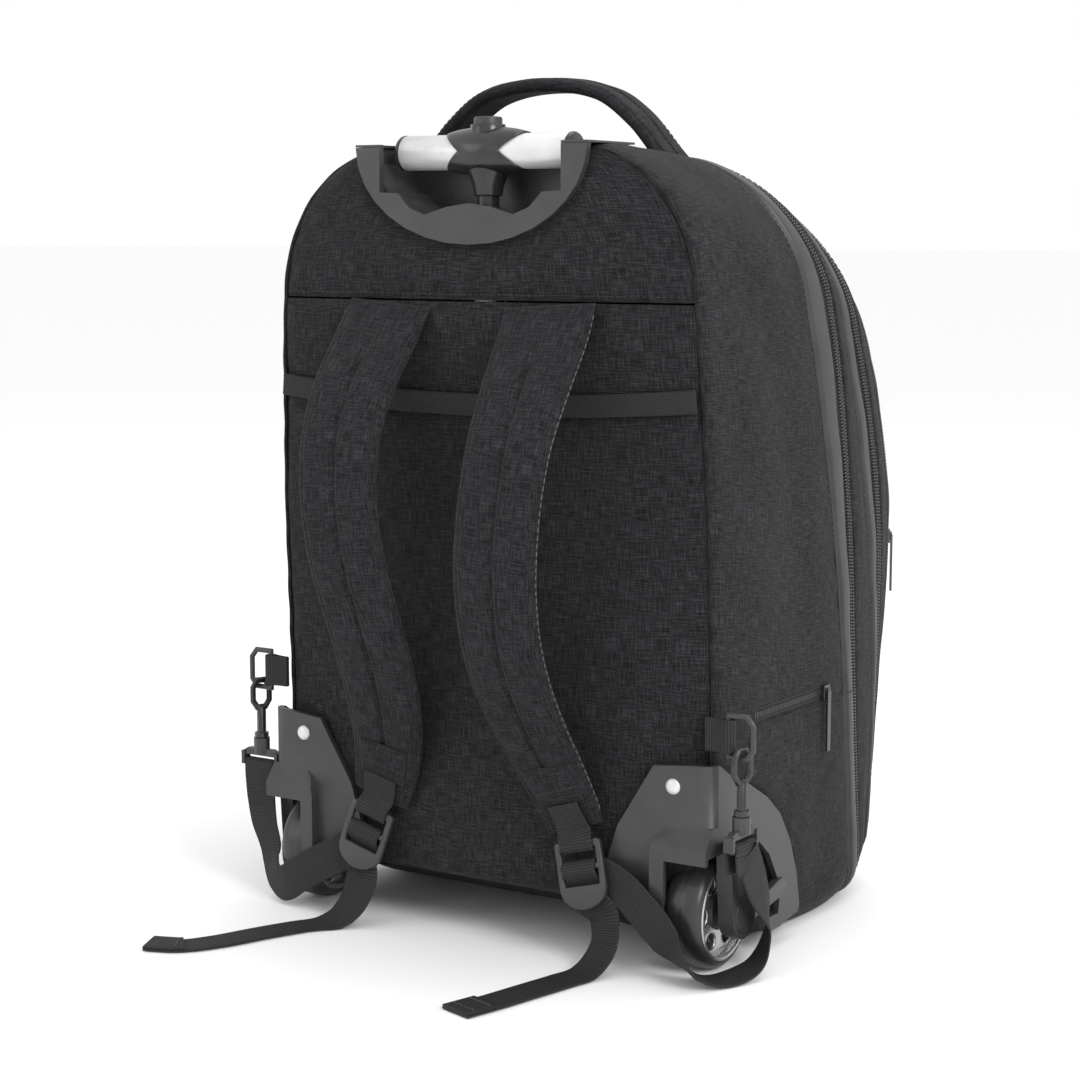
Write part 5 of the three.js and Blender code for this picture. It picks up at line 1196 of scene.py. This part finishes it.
def path_rows(rows, side, reach):
    """Places = (way out * reach, depth, height) of each row, and the unit direction across."""
    rows = np.array(rows, float)
    places = np.stack([side * (LOCK_X + rows[:, 0] * reach), SEAM_Y + rows[:, 1], rows[:, 2]], -1)
    across = rows[:, 3:] * (side, 1, 1)
    return places, across / np.linalg.norm(across, axis=-1, keepdims=True)


def adjusting_webbing(name, side):
    """Two bands, from hook to lock and from lock to floor, and a stitched hem on the end."""
    turn = HOOK_TURN[name]
    along = np.array([np.cos(turn), np.sin(turn), 0])
    through = np.array([-np.sin(turn), np.cos(turn), 0])
    base = np.array([side * HOOK_X, LOOP_Y, LOOP_Z[name] - FRAME_DROP])
    fold = base + FRAME_FOLD[:, :1] * through + FRAME_FOLD[:, 1:] * np.array([0, 0, 1.0])
    lower, lower_across = path_rows(LOWER[name], side, HOOK_X - LOCK_X)
    piece, frames = web_band(f"webbing_loop_{name}", np.concatenate([fold, lower]),
                             np.concatenate([np.tile(along, (len(fold), 1)), lower_across]), reach=1.6)
    settle(piece, "bag", "webbing", f"adjusting_web_{name}")
    passed = sided(lock_points(BAR_PASS), side)
    tail, tail_across = path_rows(TAILS[name], side, 1)
    across = np.concatenate([np.tile(sided(lock_across, side), (len(passed), 1)), tail_across])
    piece, frames = web_band(f"webbing_tail_{name}", np.concatenate([passed, tail]), across, reach=1.6)
    settle(piece, "bag", "webbing")
    at, across, normal = (row[-16:] for row in frames[:3])
    up = np.sign((normal[:, 2:]).sum()) * normal
    u, v = flat_section(WEB_WIDTH / 2, WEB_THICKNESS / 2)
    hem = grid_piece(f"webbing_hem_{name}", carried((at + up * 1.55, across, normal), u * 0.99, v), webbing,
                     loop_cols=True, caps=True)
    settle(hem, "bag", "webbing")
    for offset in (3, 11):
        line = at[offset] + across[offset] * np.linspace(-10.5, 10.5, 20)[:, None] + up[offset] * 2.5
        places = even_path(line, np.tile(up[offset], (20, 1)), 3.0, False)
        repeat_unit(f"hem_stitches_{name}_{offset}", places, stitch_unit(2.3, 0.34), thread, slot="webbing")


for name, side in SIDES.items():
    adjusting_webbing(name, side)
print("webbing done")

# %% [markdown]
# ## Carry handle, band, side pocket and side tabs
# The carry handle is a padded arch with a seam along its middle. The band is a flat sleeve of twill
# that slips over a trolley's handle. The side pocket is one more layer of cloth on the gusset, with
# its own small zip along the top, and the tabs are short loops of webbing sewn in the back seam.

# %% Carry handle
HANDLE_Y, HANDLE_RISE, HANDLE_SPAN = -20, 42, 90
ARCH = np.array([[-1.14, -0.42], [-1, -0.1], [-0.78, 0.42], [-0.48, 0.85], [0, 1], [0.48, 0.85], [0.78, 0.42],
                 [1, -0.1], [1.14, -0.42]])
arch_places = np.stack([ARCH[:, 0] * HANDLE_SPAN, np.full(len(ARCH), HANDLE_Y),
                        BAG_HEIGHT + ARCH[:, 1] * HANDLE_RISE], -1)
arch = frames_along(arch_places, np.tile((0.0, 1.0, 0.0), (len(ARCH), 1)), 2.0)
w = np.sin(np.linspace(-1, 1, 48) * np.pi / 2)
padding = 4.75 * (1 - np.abs(w) ** 6) ** 0.5 - 0.9 * np.exp(-((np.abs(w) - 0.84) / 0.05) ** 2)
wave = ripples(np.arange(len(arch[0]))[:, None] * 2.0, w[None] * 18, 61, 6, 40) * 0.25
top_side = padding - 1.0 * np.exp(-(w / 0.06) ** 2) + wave
handle_grid = carried(arch, np.concatenate([18 * w, 18 * w[::-1]]),
                      np.concatenate([-top_side, np.broadcast_to(padding[::-1], top_side.shape)], 1))
handle = grid_piece("carry_handle_pad", handle_grid, strap_cloth, loop_cols=True, caps=True)
settle(handle, "bag", "melange_fabric", "carry_handle")
for place in (-0.9, -0.08, 0.08, 0.9):
    line = arch[0] + arch[1] * 18 * place - arch[2] * (np.interp(place, w, padding) + 0.05)
    repeat_unit(f"handle_stitches_{int(place * 100 + 100)}", even_path(line, -arch[2], 4.2, False),
                stitch_unit(3.0, 0.33), dark_thread)

# %% Twill band and side tabs
band_half = side_at(BAG_WIDTH / 2, BAG_HEIGHT, 365.0) - 4.4
u = np.linspace(-1, 1, 15)
band_z = band_height(u)
band_places = np.stack([u * band_half, back_face(u * band_half, band_z) - 2.6, band_z], -1)
band, _ = web_band("back_band_twill", band_places, np.tile((0.0, 0.0, 1.0), (15, 1)), 14.5, twill, 2.0)
settle(band, "bag", "webbing", "back_band")
LOOP_BAR_X = BAG_WIDTH / 2 + 12.5
for name, side in SIDES.items():
    z = LOOP_Z[name]
    root = side_at(BAG_WIDTH / 2, BAG_HEIGHT, float(z)) - 2.7
    turn = np.linspace(-np.pi / 2, np.pi / 2, 9)
    eye = np.stack([LOOP_BAR_X + 3.5 * np.cos(turn), LOOP_Y + 3.5 * np.sin(turn), z + 0 * turn], -1)
    start, end = [[root, -101.6, z], [root + 6, -101.8, z]], [[root + 7, -99.2, z], [root, -100.2, z]]
    tab, _ = web_band(f"tab_loop_{name}", sided(np.concatenate([start, eye, end]), side),
                      np.tile((0.0, 0.0, 1.0), (13, 1)), 21, webbing, 1.5, 0.6)
    settle(tab, "bag", "webbing", f"side_tab_{name}")


# %% Side pockets
def body_side(y, z):
    """Half width of the body at depths y and heights z: the seam outlines on one side, joined."""
    out = np.empty(np.broadcast(y, z).shape)
    for i, height in enumerate(z[:, 0]):
        x = [side_at(s[0] * BAG_WIDTH / 2, s[1] * BAG_HEIGHT, height) + swell(s, height) for s in SEAMS[:9]]
        out[i] = np.interp(y[i], [seam_depth(s, height) for s in SEAMS[:9]], x)
    return out


EDGE_Z = np.array([15, 17, 22, 45, 69, 90, 105, 118])
EDGE_Y = np.array([-3, 14, 16, 11, 1, -14, -33, -57])
t = np.linspace(0, 1, 60)
for name, side in SIDES.items():
    z = np.linspace(25, 156, 66)[:, None] + 0 * t
    rear = np.maximum(-60, np.interp(z, EDGE_Z, EDGE_Y) + 4)
    front = seam_depth(SEAMS[MAIN_A], z) - 4
    y = rear + (front - rear) * t
    near = np.minimum(np.minimum(t * (front - rear), (1 - t) * (front - rear)), np.minimum(z - 25, 156 - z))
    x = body_side(y, z) + 0.9 + 1.5 * (1 - np.exp(-near / 6)) + ripples(y, z, 71, 7, 60) * 0.35 * (near > 3)
    pocket = grid_piece(f"pocket_cloth_{name}", sided(np.stack([x, y, z], -1), side), melange,
                        away=(side, 0, 0))
    settle(wall(pocket, 1.4), "bag", "melange_fabric", f"side_pocket_{name}")
    y = np.linspace(-50, 58, 80)[None] + np.zeros((12, 1))
    z = np.linspace(156.4, 164.8, 12)[:, None] + np.zeros(80)
    groove = 1.6 * np.cos((z - 160.6) / 4.2 * np.pi / 2)
    x = body_side(y, z) + 1.9 - 0.7 * groove
    zip_tape = grid_piece(f"side_zip_tape_{name}", sided(np.stack([x, y, z], -1), side), edge_tape,
                          away=(side, 0, 0))
    settle(wall(zip_tape, 1.0), "bag", "zip_tape", f"side_zip_{name}")
    line = sided(np.stack([x[6] + 0.1, y[6], z[6]], -1), side)
    places = even_path(line, np.tile((float(side), 0, 0), (80, 1)), 2.2, False)
    repeat_unit(f"side_zip_teeth_{name}", places, tooth_unit(4.6, 1.3, 1.2), coil_plastic, slot="zip_tape")
    for label, height in (("top", 153.5), ("hem", 28.5)):
        y = np.linspace(-46 if height > 100 else 22, 96, 70)[None]
        x = body_side(y, np.full((1, 1), height)) + 2.6
        line = sided(np.stack([x[0], y[0], np.full(70, height)], -1), side)
        places = even_path(line, np.tile((float(side), 0, 0), (70, 1)), 4.2, False)
        repeat_unit(f"pocket_stitches_{label}_{name}", places, stitch_unit(3.0, 0.33), dark_thread)
print("handle, band and pockets done")

# %% [markdown]
# ## Wheels, grip and pole
# These are turned parts, so each is a profile turned round its axis. The wheel's disc has six round
# holes, which a curve with hole splines gives. The sleeve of the grip is cut in a V towards its
# middle on the harness side, so its length changes with the angle round the tube.

# %% Wheels
for name, side in SIDES.items():
    centre = sided(WHEEL_CENTRE, side)
    half = 13.5
    a = np.linspace(-1, 1, 25)
    tread = np.stack([38 - 3.6 * np.abs(a) ** 3.2, a * half * (1 - 0.06 * np.abs(a) ** 6)], -1)
    tread[12, 0] -= 0.25
    tyre = np.concatenate([[[32.1, -half]], tread, [[32.1, half], [32.1, 0]]])
    ride = f"wheel_{name}"
    settle(lathe_piece(f"tyre_{name}_turned", tyre, centre, (side, 0, 0), tyre_rubber, 96, True), ride,
           "tyre_rubber", f"tyre_{name}")
    ring = np.array([[31.8, -half], [31.8, half - 0.3], [31.2, half + 0.2], [29.6, half + 0.1],
                     [28.6, half - 1.2], [28.0, half - 5], [27.2, half - 5.4], [27.2, half - 9],
                     [28.6, half - 9.6], [28.6, -half]])
    settle(lathe_piece(f"rim_{name}_turned", ring, centre, (side, 0, 0), steel, 96, True), ride,
           "bright_metal", f"rim_{name}")
    holes = [circle(21 * np.cos(b), 21 * np.sin(b), 5.6) for b in np.arange(6) * np.pi / 3]
    disc = plate(f"rim_disc_{name}", [circle(0, 0, 28.2, 72), circle(0, 0, 4.6), *holes], 5, 0.8,
                 ((0, 1, 0), (0, 0, 1)), centre + (side * 6, 0, 0), steel)
    settle(disc, ride, "bright_metal")
    hub = [[4.5, -11], [12, -11], [12.5, 9], [11.5, 10], [4.5, 10]]
    settle(lathe_piece(f"rim_hub_{name}", hub, centre, (side, 0, 0), housing_plastic, 48, True), ride,
           "bright_metal")
    cap = [[0, 8.4], [8.2, 8.4], [8.5, 8.1], [8.9, 8.1], [9.2, 8.4], [11.3, 8.2], [12, 7.4], [12, 5.6],
           [0, 5.6]]
    cap_centre = np.array([side * 172.4, WHEEL_Y, WHEEL_Z])
    settle(lathe_piece(f"hub_cap_{name}", cap, cap_centre, (side, 0, 0), hardware_plastic, 64), "bag",
           "moulded_plastic")
    dome = [[0, 1.9], [2.2, 1.8], [3.9, 1.3], [5.0, 0.4], [5.1, -0.2], [0, -0.2]]
    rivet_place = np.array([side * 146.4, -108.3, 123.3])
    settle(lathe_piece(f"rivet_{name}_domed", dome, rivet_place, (0, -1, 0), silver, 32), "bag",
           "bright_metal", f"rivet_{name}")
print("wheels done")

# %% Grip, stem and button
POLE_Y, GRIP_Z = SEAM_Y + 11, 517.5
for name, side in SIDES.items():
    skin = [[10.1, 2.3], [11.3, 2.3], [11.3, 63.2], [11.0, 63.5], [10.1, 63.5]]
    settle(lathe_piece(f"grip_tube_{name}_turned", skin, (0, POLE_Y, GRIP_Z), (side, 0, 0), silver, 64, True),
           "pole_grip", "silver_tube", f"grip_tube_{name}")
    end = [[0, 67], [9.4, 67], [10.8, 66.4], [11.5, 65.4], [11.6, 63.8], [0, 63.8]]
    settle(lathe_piece(f"grip_cap_{name}_turned", end, (0, POLE_Y, GRIP_Z), (side, 0, 0), gloss_plastic, 64),
           "pole_grip", "gloss_plastic", f"grip_cap_{name}")
a = np.linspace(-1, 1, 33)[:, None]
angle = np.linspace(0, 2 * np.pi, 96, endpoint=False)[None]
facing = np.cos(angle)
reach = 30 - 14.4 * np.maximum(0, 1 - np.abs(np.sin(angle)) * 0.97) * ease(facing, 0.0, 0.25)
full = 1 - np.abs(a) ** 2.4
deep, tall = 12.7 + 3.6 * full, 12.0 + 3.4 * full
sleeve = np.stack([a * reach, POLE_Y - deep * facing, GRIP_Z + 0.4 + tall * np.sin(angle)], -1)


def outside_button(points):
    """True outside the round hole that the button needs in the sleeve."""
    return (np.hypot(points[:, 0], points[:, 1] - POLE_Y) > 10.2) | (points[:, 2] < GRIP_Z)


grip = grid_piece("grip_sleeve", sleeve, gloss_plastic, loop_cols=True, centre=(0, POLE_Y, GRIP_Z),
                  keep=outside_button)
settle(wall(grip, 1.2), "pole_grip", "gloss_plastic", "grip_yoke")
down = np.linspace(0, 1, 26)[:, None]
wide = 9.2 + 9.8 * (1 - down) ** 1.8
neck = np.stack([wide * np.sin(angle), POLE_Y - (9 + 3.2 * (1 - down)) * np.cos(angle),
                 GRIP_Z - 7 - 21 * down + 0 * angle], -1)
settle(grid_piece("grip_neck", neck, gloss_plastic, loop_cols=True, caps=True), "pole_grip", "gloss_plastic")
collar = [[9.6, 11], [11.3, 11], [11.3, 16.8], [10.9, 17.3], [9.9, 17.3], [9.6, 17]]
settle(lathe_piece("grip_collar", collar, (0, POLE_Y, GRIP_Z), (0, 0, 1), gloss_plastic, 64, True),
       "pole_grip", "gloss_plastic")
button = [[0, 22.3], [6.6, 22.3], [7.0, 22.0], [8.2, 22.1], [9.0, 21.4], [9.2, 20.4], [9.2, 15.9], [0, 15.9]]
settle(lathe_piece("button_turned", button, (0, POLE_Y, GRIP_Z), (0, 0, 1), hardware_plastic, 64), "button",
       "gloss_plastic", "push_button")
stem = [[6.2, 64], [7.2, 64], [7.2, 502.2], [6.2, 502.2]]
settle(lathe_piece("stem_turned", stem, (0, POLE_Y, 0), (0, 0, 1), gloss_plastic, 48, True), "pole_grip",
       "gloss_plastic", "pole_stem")
print("grip done")

# %% [markdown]
# ## Moulded parts kept from the CAD model
# The wheel housings, the cup, the hooks and the zip pulls already have their right shapes. A copy
# of each is merged, its edges get a small round bevel, since no moulded edge is truly sharp, and
# its curved faces are smoothed. The remaining CAD parts only get a finish.

# %% Rounded copies of CAD parts


def rounded_copy(node, width, material, body, slot, angle=32):
    """Copy of a CAD node's mesh: doubles merged, flat faces joined, edges rounded by a bevel."""
    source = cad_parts[node]
    piece = bpy.data.objects.new(f"{node}_rounded", source.data.copy())
    bpy.context.collection.objects.link(piece)
    matrix = np.array(source.matrix_world)
    if not np.allclose(matrix, np.eye(4), atol=1e-7):
        piece.data.transform(source.matrix_world)
    piece.data.materials.clear()
    piece.data.materials.append(material)
    shape = bmesh.new()
    shape.from_mesh(piece.data)
    bmesh.ops.remove_doubles(shape, verts=shape.verts, dist=0.00005)
    bmesh.ops.dissolve_limit(shape, angle_limit=np.radians(2), verts=shape.verts, edges=shape.edges)
    shape.to_mesh(piece.data)
    shape.free()
    piece.data.shade_smooth()
    piece.data.set_sharp_from_angle(angle=np.radians(angle))
    bevel = piece.modifiers.new("edges", "BEVEL")
    bevel.width = width / 1000
    bevel.segments = 2
    bevel.limit_method = "ANGLE"
    bevel.angle_limit = np.radians(angle)
    return settle(piece, body, slot, node)


rounded_copy("handle_cup", 0.8, hardware_plastic, "bag", "moulded_plastic", 25)
for name in SIDES:
    rounded_copy(f"housing_{name}", 0.7, housing_plastic, "bag", "moulded_plastic", 30)
    rounded_copy(f"hook_frame_{name}", 0.5, hardware_plastic, "bag", "moulded_plastic")
    rounded_copy(f"snap_hook_{name}", 0.3, gloss_plastic, "bag", "gloss_plastic", 50)
    rounded_copy(f"d_ring_{name}", 0.4, hardware_plastic, "bag", "moulded_plastic", 50)
    rounded_copy(f"side_pull_{name}", 0.4, dark_metal, "bag", "bright_metal")
    rounded_copy(f"axle_{name}", 0.3, hardware_plastic, "bag", "moulded_plastic")
for node in ("front_pull", "second_pull", "main_pull"):
    rounded_copy(node, 0.4, dark_metal, "bag", "bright_metal")

for node in ("pole_outer_tube", "pole_middle_tube"):
    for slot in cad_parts[node].material_slots:
        slot.material = steel
print("rounded copies done")

# %% [markdown]
# ## Floor
# The floor is one plain pale sheet.

# %% Floor
floor_material = bpy.data.materials.new("pale floor")
floor_material.use_nodes = True
floor_shader = floor_material.node_tree.nodes["Principled BSDF"]
floor_shader.inputs["Base Color"].default_value = (0.96, 0.96, 0.96, 1)
floor_shader.inputs["Roughness"].default_value = 0.8
edge = np.linspace(-60000, 60000, 3)
floor_grid = np.stack([*np.meshgrid(edge, edge), np.full((3, 3), -0.3)], -1)
floor = grid_piece("studio_floor", floor_grid, floor_material, away=(0, 0, 1))
